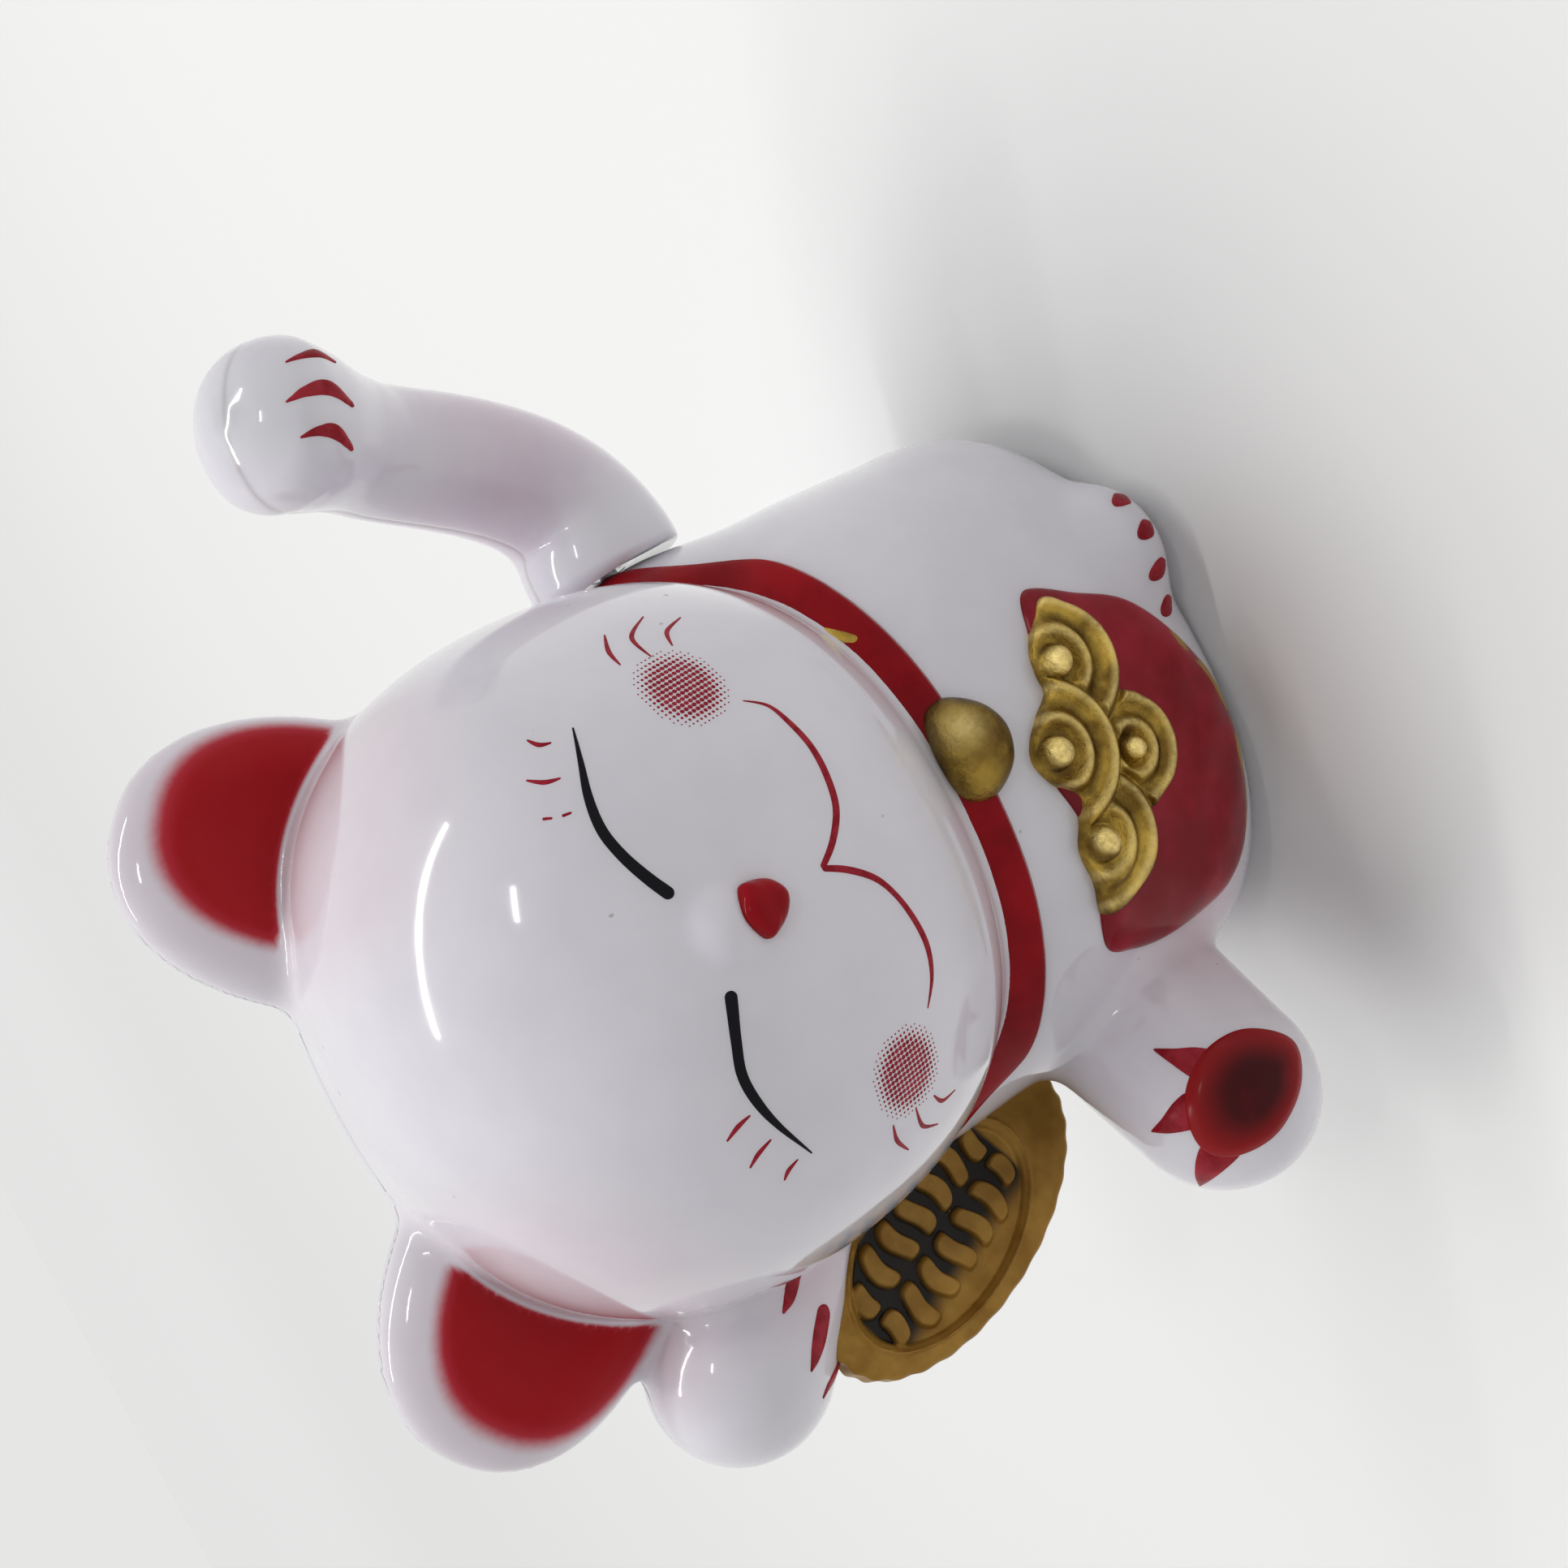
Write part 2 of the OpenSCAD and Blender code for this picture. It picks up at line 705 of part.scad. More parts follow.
module base_plate() {
    color([0.9, 0.89, 0.91])
        difference() {
            union() {
                linear_extrude(base_t)
                    base_outline(0);
                translate([-box_l / 2, cell_y - box_w / 2, base_t - 0.1])
                    cube([box_l, box_w, box_top - base_t + 0.1]);
                for (b = frame_bolts)
                    translate([b.x, b.y, box_top - 6])
                        cylinder(h = 6, r = 2.4);
            }
            translate([bay_left, cell_y - bay_w / 2, base_t])
                cube([bay_l, bay_w, box_top - box_wall - base_t]);
            translate([-door_l / 2 + lip, cell_y - door_w / 2 + lip, -1])
                cube([door_l - 2 * lip, door_w - 2 * lip, base_t + 2]);
            translate([-door_l / 2 - slack, cell_y - door_w / 2 - slack, -1])
                cube([door_l + 2 * slack, door_w + 2 * slack, 1 + door_z + door_t + slack]);
            for (b = frame_bolts)
                translate([b.x, b.y, box_top - 5])
                    cylinder(h = 6, r = screw_d / 2 - 0.2);
            door_hinge(door_w / 2 + hinge_l + slack, hinge_r + hinge_fit);
            for (p = concat(front_posts, rear_posts))
                translate([p.x, p.y, -1]) {
                    cylinder(h = base_t + 2, r = screw_d / 2 + 0.2);
                    cylinder(h = 1 + screw_seat, r = head_r_screw + slack);
                }
        }
}

module base_screws() {
    color([0.6, 0.6, 0.62])
        for (p = concat(front_posts, rear_posts))
            translate([p.x, p.y, screw_seat])
                mirror([0, 0, 1])
                    screw(7);
}

module battery_door() {
    end_x = door_l / 2;
    color([0.9, 0.89, 0.91])
        difference() {
            union() {
                translate([-end_x, cell_y - door_w / 2, door_z])
                    cube([door_l, door_w, door_t]);
                door_hinge(door_w / 2 + hinge_l, hinge_r);
            }
            for (i = [0 : 4])
                translate([end_x - 8 + i * 1.4, cell_y - 2.5, door_z - 0.1])
                    cube([0.6, 5, 0.5]);
        }
}

module aaa_cell() {
    can_l = cell_l - 1;
    color([0.25, 0.3, 0.35])
        translate([bay_left + contact_t, cell_y, cell_z])
            rotate([0, 90, 0]) {
                translate([0, 0, 1])
                    cylinder(h = can_l, r = cell_d / 2);
                cylinder(h = 1.1, r = 1.9);
            }
}

module positive_contact() {
    color([0.8, 0.8, 0.78])
        translate([bay_left, cell_y - 3.5, base_t + 1])
            cube([contact_t, 7, cell_d - 1]);
}

spring_turns = 3.5;
spring_wire = 0.35;

function spring_at(t) =
    let (r = 3.6 - 1.4 * t, turn = 360 * spring_turns * t)
    [bay_left + bay_l - contact_t - spring_wire - t * (spring_l - 2 * spring_wire),
     cell_y + r * cos(turn), cell_z + r * sin(turn)];

// A round wire along a row of points.
function wire_ring(points, i, r, sides) =
    let (a = points[max(i - 1, 0)], b = points[min(i + 1, len(points) - 1)])
    let (h = unit(b - a), side = unit(cross(h, [0.31, 0.27, 0.91])), up = cross(side, h))
    [for (k = [0 : sides - 1]) let (t = 360 * k / sides) points[i] + r * (cos(t) * side + sin(t) * up)];

module wire(points, r, sides) {
    ring_solid([for (i = [0 : len(points) - 1]) wire_ring(points, i, r, sides)]);
}

module negative_spring() {
    steps = 50;
    color([0.8, 0.8, 0.78]) {
        translate([bay_left + bay_l - contact_t, cell_y - 4.2, base_t + 1])
            cube([contact_t, 8.4, cell_d - 1]);
        wire([for (k = [0 : steps]) spring_at(k / steps)], spring_wire, 6);
    }
}

// Leads from the two contacts to the board, in their insulation.
lead_r = 0.6;
red_route = [
    [bay_left - box_wall - 1, cell_y, cell_z + 1.5], [bay_left - box_wall - 1, cell_y, cell_z + 4.5],
    [bay_left - box_wall - 1.2, cell_y - 1, box_top + 2], [bay_left + 1, cell_y - 2, board_top + 3.2],
    [bay_left + 5, -3.5, board_top + 4.7], [-17, -3, board_top + 3.7], [-14.5, -2, board_top + 1.8],
    [-14.5, -2, board_top + 0.1]
];
black_route = [
    [-bay_left + box_wall + 1, cell_y, cell_z + 1.5], [-bay_left + box_wall + 1.6, cell_y - 1, cell_z + 4.5],
    [-bay_left + box_wall + 2, cell_y - 6, box_top + 1.4], [24, -10, board_top + 1.7], [17, -11.5, board_top + 3.2],
    [10, -12, board_top + 2.7], [3, -10, board_top + 2.7], [-0.5, -6, board_top + 3.7], [-0.6, -3, board_top + 2.2],
    [-0.6, -2.6, board_top + 0.1]
];

function route_point(route, s) =
    let (n = len(route) - 1, i = min(floor(s), n - 1), t = s - i)
    spline(route[max(i - 1, 0)], route[i], route[i + 1], route[min(i + 2, n)], t);

module lead(route) {
    n = 4 * (len(route) - 1);
    wire([for (k = [0 : n]) route_point(route, k / 4)], lead_r, 8);
}

module red_lead() {
    color([0.75, 0.1, 0.1])
        lead(red_route);
}

module black_lead() {
    color([0.12, 0.12, 0.13])
        lead(black_route);
}

front_shell();
rear_shell();
koban_coin();
arm_hub();
arm_front_half();
arm_rear_half();
pendulum_axle();
pendulum_lever();
counterweight();
drive_magnet();
drive_frame();
frame_screws();
coil_bobbin();
coil_winding();
circuit_board();
transistor();
capacitor();
resistor();
base_plate();
base_screws();
battery_door();
aaa_cell();
positive_contact();
negative_spring();
red_lead();
black_lead();
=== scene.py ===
import math

import bpy
import numpy as np
from mathutils import Matrix, Vector
from mathutils.bvhtree import BVHTree


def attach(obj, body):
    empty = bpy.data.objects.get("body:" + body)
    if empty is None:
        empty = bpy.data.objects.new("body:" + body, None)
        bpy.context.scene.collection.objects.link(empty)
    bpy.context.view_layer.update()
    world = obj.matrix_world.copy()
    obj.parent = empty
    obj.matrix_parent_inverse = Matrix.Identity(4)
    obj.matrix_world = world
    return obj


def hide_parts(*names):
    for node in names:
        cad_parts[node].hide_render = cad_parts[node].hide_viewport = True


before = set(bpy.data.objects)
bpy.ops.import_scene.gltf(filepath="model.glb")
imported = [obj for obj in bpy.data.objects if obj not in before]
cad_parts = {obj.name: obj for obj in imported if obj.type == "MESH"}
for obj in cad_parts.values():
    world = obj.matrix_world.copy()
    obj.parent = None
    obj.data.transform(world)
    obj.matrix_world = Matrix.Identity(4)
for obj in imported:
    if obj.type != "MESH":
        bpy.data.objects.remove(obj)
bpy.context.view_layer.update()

scene = bpy.context.scene

# ---------------- camera
# The camera stands close in front of the cat and looks down on it.
# It is turned well past a right angle about its own axis, so the cat lies across the frame.

def look_at(target, azimuth, elevation, roll, distance, lens):
    a, e, r = (math.radians(v) for v in (azimuth, elevation, roll))
    back = Vector((math.sin(a) * math.cos(e), -math.cos(a) * math.cos(e), math.sin(e)))
    right = (-back).cross(Vector((0, 0, 1))).normalized()
    up = right.cross(-back)
    cam = bpy.data.objects.new("camera", bpy.data.cameras.new("camera"))
    across = right * math.cos(r) + up * math.sin(r)
    upright = up * math.cos(r) - right * math.sin(r)
    place = Matrix((across, upright, back)).transposed().to_4x4()
    place.translation = Vector(target) + back * distance
    cam.matrix_world = place
    cam.data.lens = lens
    cam.data.sensor_width = 36
    cam.data.clip_start = 0.005
    cam.data.clip_end = 10
    scene.collection.objects.link(cam)
    scene.camera = cam

look_at((0.0067, 0, 0.0383), 1.5, 30, -119, 0.160, 36.06)

# ---------------- the two moulded shells
# The cat is blown up from two thin mouldings of glossy white plastic, glued along a flat parting line.
# Ears, tail, the paw on the coin, the thigh and the raised foot are all part of them.

seam_y = 4
wall = 1.8
axle_z = 42.6

def mass(p, centre, size, plan, side):
    """Gap from points to a rounded mass, squarer as plan and side grow past 2."""
    q = p - np.array(centre, float)
    ring = (np.abs(q[..., 0] / size[0]) ** plan + np.abs(q[..., 1] / size[1]) ** plan) ** (side / plan)
    share = (ring + np.abs(q[..., 2] / size[2]) ** side) ** (1 / side)
    return np.linalg.norm(q, axis=-1) * (1 - 1 / np.maximum(share, 1e-3))

def rod(p, a, b, ra, rb):
    """Gap from points to a round rod that tapers from a to b."""
    a, b = np.array(a, float), np.array(b, float)
    t = np.clip((p - a) @ (b - a) / ((b - a) @ (b - a)), 0, 1)
    return np.linalg.norm(p - a - t[..., None] * (b - a), axis=-1) - ra - t * (rb - ra)

def soft_min(a, b, k):
    return np.minimum(a, b) - np.maximum(k - np.abs(a - b), 0) ** 2 / (4 * k)

def soft_max(a, b, k):
    return -soft_min(-a, -b, k)

def both_sides(p):
    return np.stack([np.abs(p[..., 0]), p[..., 1], p[..., 2]], -1)

def in_ear(p):
    """Points as the right ear sees them: across it, through it and along it."""
    q = both_sides(p) - np.array([20, seam_y, 81.5])
    s, c = math.sin(math.radians(54)), math.cos(math.radians(54))
    return np.stack([q[..., 0] * s - q[..., 2] * c, q[..., 1], q[..., 0] * c + q[..., 2] * s], -1)

def ear_gap(p):
    q = in_ear(p)
    plate = mass(q, (0, 0, 0), (13.3, 5.5, 18.7), 2.2, 2.2)
    dish = mass(q, (0.5, -6.9, 1.5), (10.1, 4, 15.2), 2, 2)
    return soft_max(plate, -dish, 1.5)

def head_gap(p):
    return mass(p, (0, 1, 60.5), (33, 34, 31), 2.3, 2.3)

def neckless_gap(p):
    """The body and its shoulders, without the head."""
    body = mass(p, (0, 1, 20.5), (33, 27.5, 25), 2.3, 3.6)
    shoulders = mass(both_sides(p), (22, 2, 41), (11.5, 11.5, 12.5), 2, 2)
    return soft_min(body, shoulders, 5)

def cat_gap(p):
    head = head_gap(p)
    snout = mass(p, (0.3, -31.6, 66.9), (3.0, 2.1, 2.7), 2, 2)
    head = soft_min(head, snout, 1.2)
    trunk = soft_min(soft_min(head, neckless_gap(p), 2), ear_gap(p), 2)
    leg = rod(p, (-23, -3, 19), (-38.6, -20, 23.4), 11.1, 9.6)
    paw = rod(p, (-22, 10, 41), (-38.8, 3, 70.5), 7, 9.2)
    tail = rod(p, (0, 24, 14), (5, 29.5, 24), 6.6, 5.6)
    thigh = mass(p, (19, -5, 11), (12.5, 15, 11), 2, 2)
    toes = mass(p, (11.5, -19.5, 5.2), (8.2, 8, 5.5), 2, 2)
    limbs = np.minimum(np.minimum(soft_min(thigh, toes, 3), leg), np.minimum(paw, tail))
    return soft_min(trunk, limbs, 2.5)

def cut_by(gap_list):
    """Gap of the space that all of these share, and how clearly one of them decides it."""
    stack = np.sort(np.stack(gap_list), axis=0)
    return stack[-1], stack[-1] - stack[-2]

def net(values, low, step):
    """Points and four-sided faces where a grid of gaps passes through zero."""
    inside = values < 0
    corners = [(i, j, k) for i in (0, 1) for j in (0, 1) for k in (0, 1)]
    nx, ny, nz = (n - 1 for n in values.shape)
    count = sum(inside[i:i + nx, j:j + ny, k:k + nz].astype(np.int8) for i, j, k in corners)
    cells = np.argwhere((count > 0) & (count < 8))
    number = np.full((nx, ny, nz), -1)
    number[tuple(cells.T)] = np.arange(len(cells))
    total, hits = np.zeros((len(cells), 3)), np.zeros(len(cells))
    for a in corners:
        for axis in range(3):
            if a[axis]:
                continue
            b = tuple(v + (n == axis) for n, v in enumerate(a))
            ga, gb = (values[tuple((cells + c).T)] for c in (a, b))
            crossed = (ga < 0) != (gb < 0)
            t = np.where(crossed, ga / np.where(crossed, ga - gb, 1), 0)
            at = cells + np.array(a) + t[:, None] * (np.array(b) - np.array(a))
            total[crossed] += at[crossed]
            hits += crossed
    points = low + step * total / hits[:, None]
    faces = []
    for axis in range(3):
        one, two = (axis + 1) % 3, (axis + 2) % 3
        span = [slice(None)] * 3
        span[axis] = slice(0, -1)
        nxt = list(span)
        nxt[axis] = slice(1, None)
        for out in (True, False):
            here, there = inside[tuple(span)], inside[tuple(nxt)]
            edges = np.argwhere(here & ~there if out else there & ~here)
            edges = edges[(edges[:, one] > 0) & (edges[:, two] > 0)]
            edges = edges[(edges[:, one] < values.shape[one] - 1) & (edges[:, two] < values.shape[two] - 1)]
            quad = []
            for da, db in ((1, 1), (0, 1), (0, 0), (1, 0)):
                cell = edges.copy()
                cell[:, one] -= da
                cell[:, two] -= db
                quad.append(number[tuple(cell.T)])
            quad = np.stack(quad, 1)
            faces.append(quad if out else quad[:, ::-1])
    return points, np.concatenate(faces)

def slope(p, gap):
    """Direction in which a gap grows fastest, with its rate."""
    d = 0.05
    return np.stack([gap(p + d * axis) - gap(p - d * axis) for axis in np.eye(3)], -1) / (2 * d)

def smooth_net(points, faces, gap_and_margin, clear, rounds):
    """Evens out the points of a net and keeps them on their surface, apart from those by an edge."""
    edges = np.concatenate([faces[:, [i, (i + 1) % 4]] for i in range(4)])
    edges = np.unique(np.sort(edges, axis=1), axis=0)
    free = gap_and_margin(points)[1] > clear
    for _ in range(rounds):
        total, hits = np.zeros_like(points), np.zeros(len(points))
        for a, b in ((0, 1), (1, 0)):
            np.add.at(total, edges[:, a], points[edges[:, b]])
            np.add.at(hits, edges[:, a], 1)
        moved = points[free] * 0.4 + 0.6 * (total / hits[:, None])[free]
        grade = slope(moved, lambda q: gap_and_margin(q)[0])
        off = gap_and_margin(moved)[0] / np.maximum((grade ** 2).sum(-1), 0.05)
        points[free] = moved - np.clip(off, -0.5, 0.5)[:, None] * grade
    return points

def add_piece(name, points, faces, finish, body, values=None, crease=40):
    """A piece from points in millimetres, with its finish, riding on one body."""
    mesh = bpy.data.meshes.new(name)
    mesh.from_pydata((np.asarray(points, float) * 0.001).tolist(), [], [list(map(int, f)) for f in faces])
    mesh.polygons.foreach_set("use_smooth", np.ones(len(mesh.polygons), bool))
    mesh.set_sharp_from_angle(angle=math.radians(crease))
    for key, numbers in (values or {}).items():
        layer = mesh.attributes.new(key, "FLOAT", "POINT")
        layer.data.foreach_set("value", np.asarray(numbers, np.float32))
    mesh.materials.append(finish.material)
    piece = bpy.data.objects.new(name, mesh)
    scene.collection.objects.link(piece)
    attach(piece, body)
    return piece

def new_node(tree, kind, settings, sockets):
    """A node with its settings made, and its sockets set to values or linked to other sockets."""
    made = tree.nodes.new(kind)
    for key, value in settings.items():
        setattr(made, key, value)
    for key, value in sockets.items():
        if isinstance(value, bpy.types.NodeSocket):
            tree.links.new(value, made.inputs[key])
        else:
            made.inputs[key].default_value = value
    return made

class Wire:
    """One output of a finish's nodes, which Python arithmetic can be done on."""

    def __init__(self, finish, socket):
        self.finish, self.socket = finish, socket

    def math(self, operation, *values):
        return self.finish.node("ShaderNodeMath", {"operation": operation}, dict(enumerate(values)))

    def __add__(self, other):
        return self.math("ADD", self, other)

    def __sub__(self, other):
        return self.math("SUBTRACT", self, other)

    def __rsub__(self, other):
        return self.math("SUBTRACT", other, self)

    def __mul__(self, other):
        return self.math("MULTIPLY", self, other)

    __radd__, __rmul__ = __add__, __mul__

    def over(self, low, high):
        """0 at low and 1 at high, smoothly, and flat beyond them."""
        sockets = {0: self, 1: low, 2: high, 3: 0.0, 4: 1.0}
        return self.finish.node("ShaderNodeMapRange", {"interpolation_type": "SMOOTHSTEP"}, sockets)

class Finish:
    """A material, its shader's constants, and a way to add nodes to it."""

    def __init__(self, name, colour, **constants):
        self.material = bpy.data.materials.new(name)
        self.material.use_nodes = True
        self.shader = self.material.node_tree.nodes["Principled BSDF"]
        self.shader.inputs["Base Color"].default_value = (*colour, 1)
        for key, value in constants.items():
            self.shader.inputs[key.replace("_", " ")].default_value = value

    def node(self, kind, settings, sockets, out=0):
        sockets = {key: value.socket if isinstance(value, Wire) else value for key, value in sockets.items()}
        return Wire(self, new_node(self.material.node_tree, kind, settings, sockets).outputs[out])

    def feed(self, key, wire):
        self.material.node_tree.links.new(wire.socket, self.shader.inputs[key])

    def place(self):
        return self.node("ShaderNodeTexCoord", {}, {}, "Object")

    def grain(self, scale, detail=3.0, roughness=0.55):
        return self.node("ShaderNodeTexNoise", {}, {
            "Vector": self.place(), "Scale": scale, "Detail": detail, "Roughness": roughness}, "Fac")

    def value(self, name):
        return self.node("ShaderNodeAttribute", {"attribute_name": name}, {}, "Fac")

    def blend(self, share, a, b):
        """Colour a, going over to colour b as share goes from 0 to 1."""
        a, b = ((*c, 1) if isinstance(c, tuple) else c for c in (a, b))
        return self.node("ShaderNodeMix", {"data_type": "RGBA"}, {0: share, 6: a, 7: b}, 2)

    def bump(self, height, depth, strength=1.0):
        """Depth is in metres for a height that runs from 0 to 1."""
        sockets = {"Strength": strength, "Distance": depth, "Height": height}
        self.feed("Normal", self.node("ShaderNodeBump", {}, sockets))

white_plastic = (0.76, 0.735, 0.785)

def shell_finish(name):
    """Glossy white plastic that light sinks a little way into."""
    return Finish(name, white_plastic, Roughness=0.2, IOR=1.3, Coat_Weight=0.8, Coat_Roughness=0.06,
                  Subsurface_Weight=0.25, Subsurface_Radius=(0.9, 0.7, 0.8), Subsurface_Scale=0.004)

def spray_over(f):
    """Handling marks, specks and seam dirt, sprayed paint, and painted pink shade where the attributes say
    so.
    """
    cloud = f.grain(90.0)
    fine = f.grain(1400.0, 2.0)
    tint = f.blend(cloud.over(0.35, 0.7), white_plastic, (0.72, 0.695, 0.745))
    # The pink tint is real overspray by the ears, and painted shade with a pink cast by the hip and the
    # wrist.
    pink_overspray_and_painted_shade = f.value("pink_overspray_and_painted_shade") * (0.75 + 0.5 * cloud)
    tint = f.blend(pink_overspray_and_painted_shade, tint, (0.70, 0.33, 0.40))
    sprayed = (f.value("ear_paint") + 0.06 * (fine - 0.5)).over(0.30, 0.72)
    deep = f.blend(f.value("ear_paint").over(0.5, 1.0), (0.50, 0.03, 0.05), (0.38, 0.001, 0.006))
    tint = f.blend(sprayed, tint, deep)
    specks = f.grain(520.0, 1.0).over(0.80, 0.83)
    tint = f.blend(specks * 0.55, tint, (0.25, 0.2, 0.19))
    grime = f.value("seam") * (0.1 + 0.45 * f.grain(260.0, 4.0))
    f.feed("Base Color", f.blend(grime, tint, (0.42, 0.35, 0.34)))
    f.feed("Roughness", 0.10 + 0.10 * f.grain(160.0, 5.0, 0.6).over(0.4, 0.75) + 0.45 * sprayed)
    f.feed("Coat Weight", 0.8 - 0.8 * sprayed)
    f.bump(cloud * 0.7 + fine * 0.02, 0.00012, 0.5)

shell_paint = shell_finish("shell_plastic")
spray_over(shell_paint)

foot_half = (26.7, 21.475)
opening_top = 2.3

def oval(u, v, half_u, half_v):
    """Share of the way from the middle of a slightly square oval to its edge."""
    return (np.abs(u / half_u) ** 2.3 + np.abs(v / half_v) ** 2.3) ** (1 / 2.3)

def shell_cut(p, front):
    """One moulding: its skin, its inner wall, the parting face, the base opening and the axle hole."""
    gap = cat_gap(p)
    side = p[..., 1] - seam_y + 0.03 if front else seam_y + 0.03 - p[..., 1]
    q = (p - np.array([0, 1, 0])) * np.array([1, 1, 0])
    share = oval(q[..., 0], q[..., 1], *foot_half)
    beyond = np.linalg.norm(q, axis=-1) * (1 - 1 / np.maximum(share, 1e-3))
    opening = np.maximum(beyond, p[..., 2] - opening_top)
    bore = np.maximum(np.hypot(p[..., 1] - seam_y, p[..., 2] - axle_z) - 2, 27 - p[..., 0])
    return [gap, -gap - wall, side, -p[..., 2], -opening, -bore]

def shell_mesh(front):
    step = 0.62
    low = np.array([-51, -36 if front else seam_y - 2, -1.5]) + 0.013
    high = np.array([38, seam_y + 2 if front else 38, 101])
    grid = np.stack(np.meshgrid(*(np.arange(a, b, step) for a, b in zip(low, high)), indexing="ij"), -1)
    values = cut_by(shell_cut(grid, front))[0]
    points, faces = net(values, low, step)
    return smooth_net(points, faces, lambda p: cut_by(shell_cut(p, front)), step * 0.9, 3), faces

def spray_values(p):
    """How much ear paint, pink overspray, painted pink shade and seam dirt lies at each point."""
    ear = in_ear(p)
    inner = oval(ear[:, 0] - 1.5, np.maximum(ear[:, 2] - 1.5, 0), 10.4, 14.2)
    on_ear = np.clip((head_gap(p) - 0.15) / 0.9, 0, 1) * np.clip((seam_y - 1 - p[:, 1]) / 0.8, 0, 1)
    on_ear = on_ear * np.clip((ear[:, 2] + 8) / 3, 0, 1)
    paint = np.clip((1.16 - inner) / 0.32, 0, 1) * on_ear
    pink_overspray_and_painted_shade = 0.16 * np.clip((1.7 - inner) / 0.8, 0, 1) * np.clip((ear[:, 2] + 5) / 6, 0, 1)
    pink_overspray_and_painted_shade = pink_overspray_and_painted_shade * (p[:, 1] < seam_y - 0.3)
    # Painted pink shade where the leg meets the belly and where the paw meets the cheek.
    painted_hip_shade = np.exp(-((p - np.array([-27, -17, 16])) ** 2).sum(-1) / 90) * 0.35
    painted_wrist_shade = np.exp(-((p - np.array([-33, -4, 62])) ** 2).sum(-1) / 30) * 0.25
    seam = np.exp(-((p[:, 1] - seam_y) / 0.32) ** 2) * (p[:, 2] > 3)
    return {"ear_paint": paint, "pink_overspray_and_painted_shade": np.clip(pink_overspray_and_painted_shade + painted_hip_shade + painted_wrist_shade, 0, 1), "seam": seam}

for front in (True, False):
    points, faces = shell_mesh(front)
    name = "front_moulding" if front else "rear_moulding"
    shell = add_piece(name, points, faces, shell_paint, "figurine", spray_values(points))
    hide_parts("front_shell" if front else "rear_shell")

# ---------------- the swinging arm
# The arm is its own pair of thin mouldings, split front and back, glued round a hub on the steel axle.
# It stands clear of the body by about half a millimetre and swings fore and aft.

pivot = np.array([34, seam_y, axle_z])
arm_way = np.array([
    [-0.05, 0, 0], [2.8, 0, 0], [6.4, 0, 0.3], [10.1, -0.7, 2.4], [13.2, -2, 6.6], [15.8, -3.6, 12],
    [17.8, -5.6, 18], [19.4, -8.8, 22.8], [20.6, -12.1, 27.2], [21.1, -13.6, 29.4], [21.6, -14.9, 31.4],
    [21.9, -15.8, 32.7], [22, -16.1, 33.1]]) + pivot
arm_size = np.array([8.3, 8.3, 7.8, 7.3, 6.9, 6.7, 6.4, 6.4, 7.3, 7.4, 5.9, 3.3, 0.1])
cap_from = 8.6  # the station where the round end of the paw begins

def through(stations, s):
    """Smooth curve through stations, one at each whole number of s."""
    stations = np.asarray(stations, float)
    last = len(stations) - 1
    i = np.minimum(np.floor(s).astype(int), last - 1)
    t = (s - i).reshape((-1,) + (1,) * (stations.ndim - 1))
    a, b, c, d = (stations[np.clip(i + k, 0, last)] for k in (-1, 0, 1, 2))
    bent = (2 * a - 5 * b + 4 * c - d) * t ** 2 + (3 * b - a - 3 * c + d) * t ** 3
    return (2 * b + (c - a) * t + bent) / 2

def step_up(v, low, high):
    t = np.clip((v - low) / (high - low), 0, 1)
    return t * t * (3 - 2 * t)

def unit(v):
    return v / np.linalg.norm(v, axis=-1, keepdims=True)

def closed_sheet(top, bottom):
    """Faces of a thin solid between two grids of points of one shape. Returns its points and faces."""
    n, m = top.shape[:2]
    at = np.arange(n * m).reshape(n, m)
    quads = np.stack([at[:-1, :-1], at[1:, :-1], at[1:, 1:], at[:-1, 1:]], -1).reshape(-1, 4)
    rim = np.concatenate([at[:-1, 0], at[-1, :-1], at[:0:-1, -1], at[0, :0:-1]])
    after = np.roll(rim, -1)
    sides = np.stack([after, rim, rim + n * m, after + n * m], -1)
    points = np.concatenate([top.reshape(-1, 3), bottom.reshape(-1, 3)])
    return points, np.concatenate([quads, quads[:, ::-1] + n * m, sides])

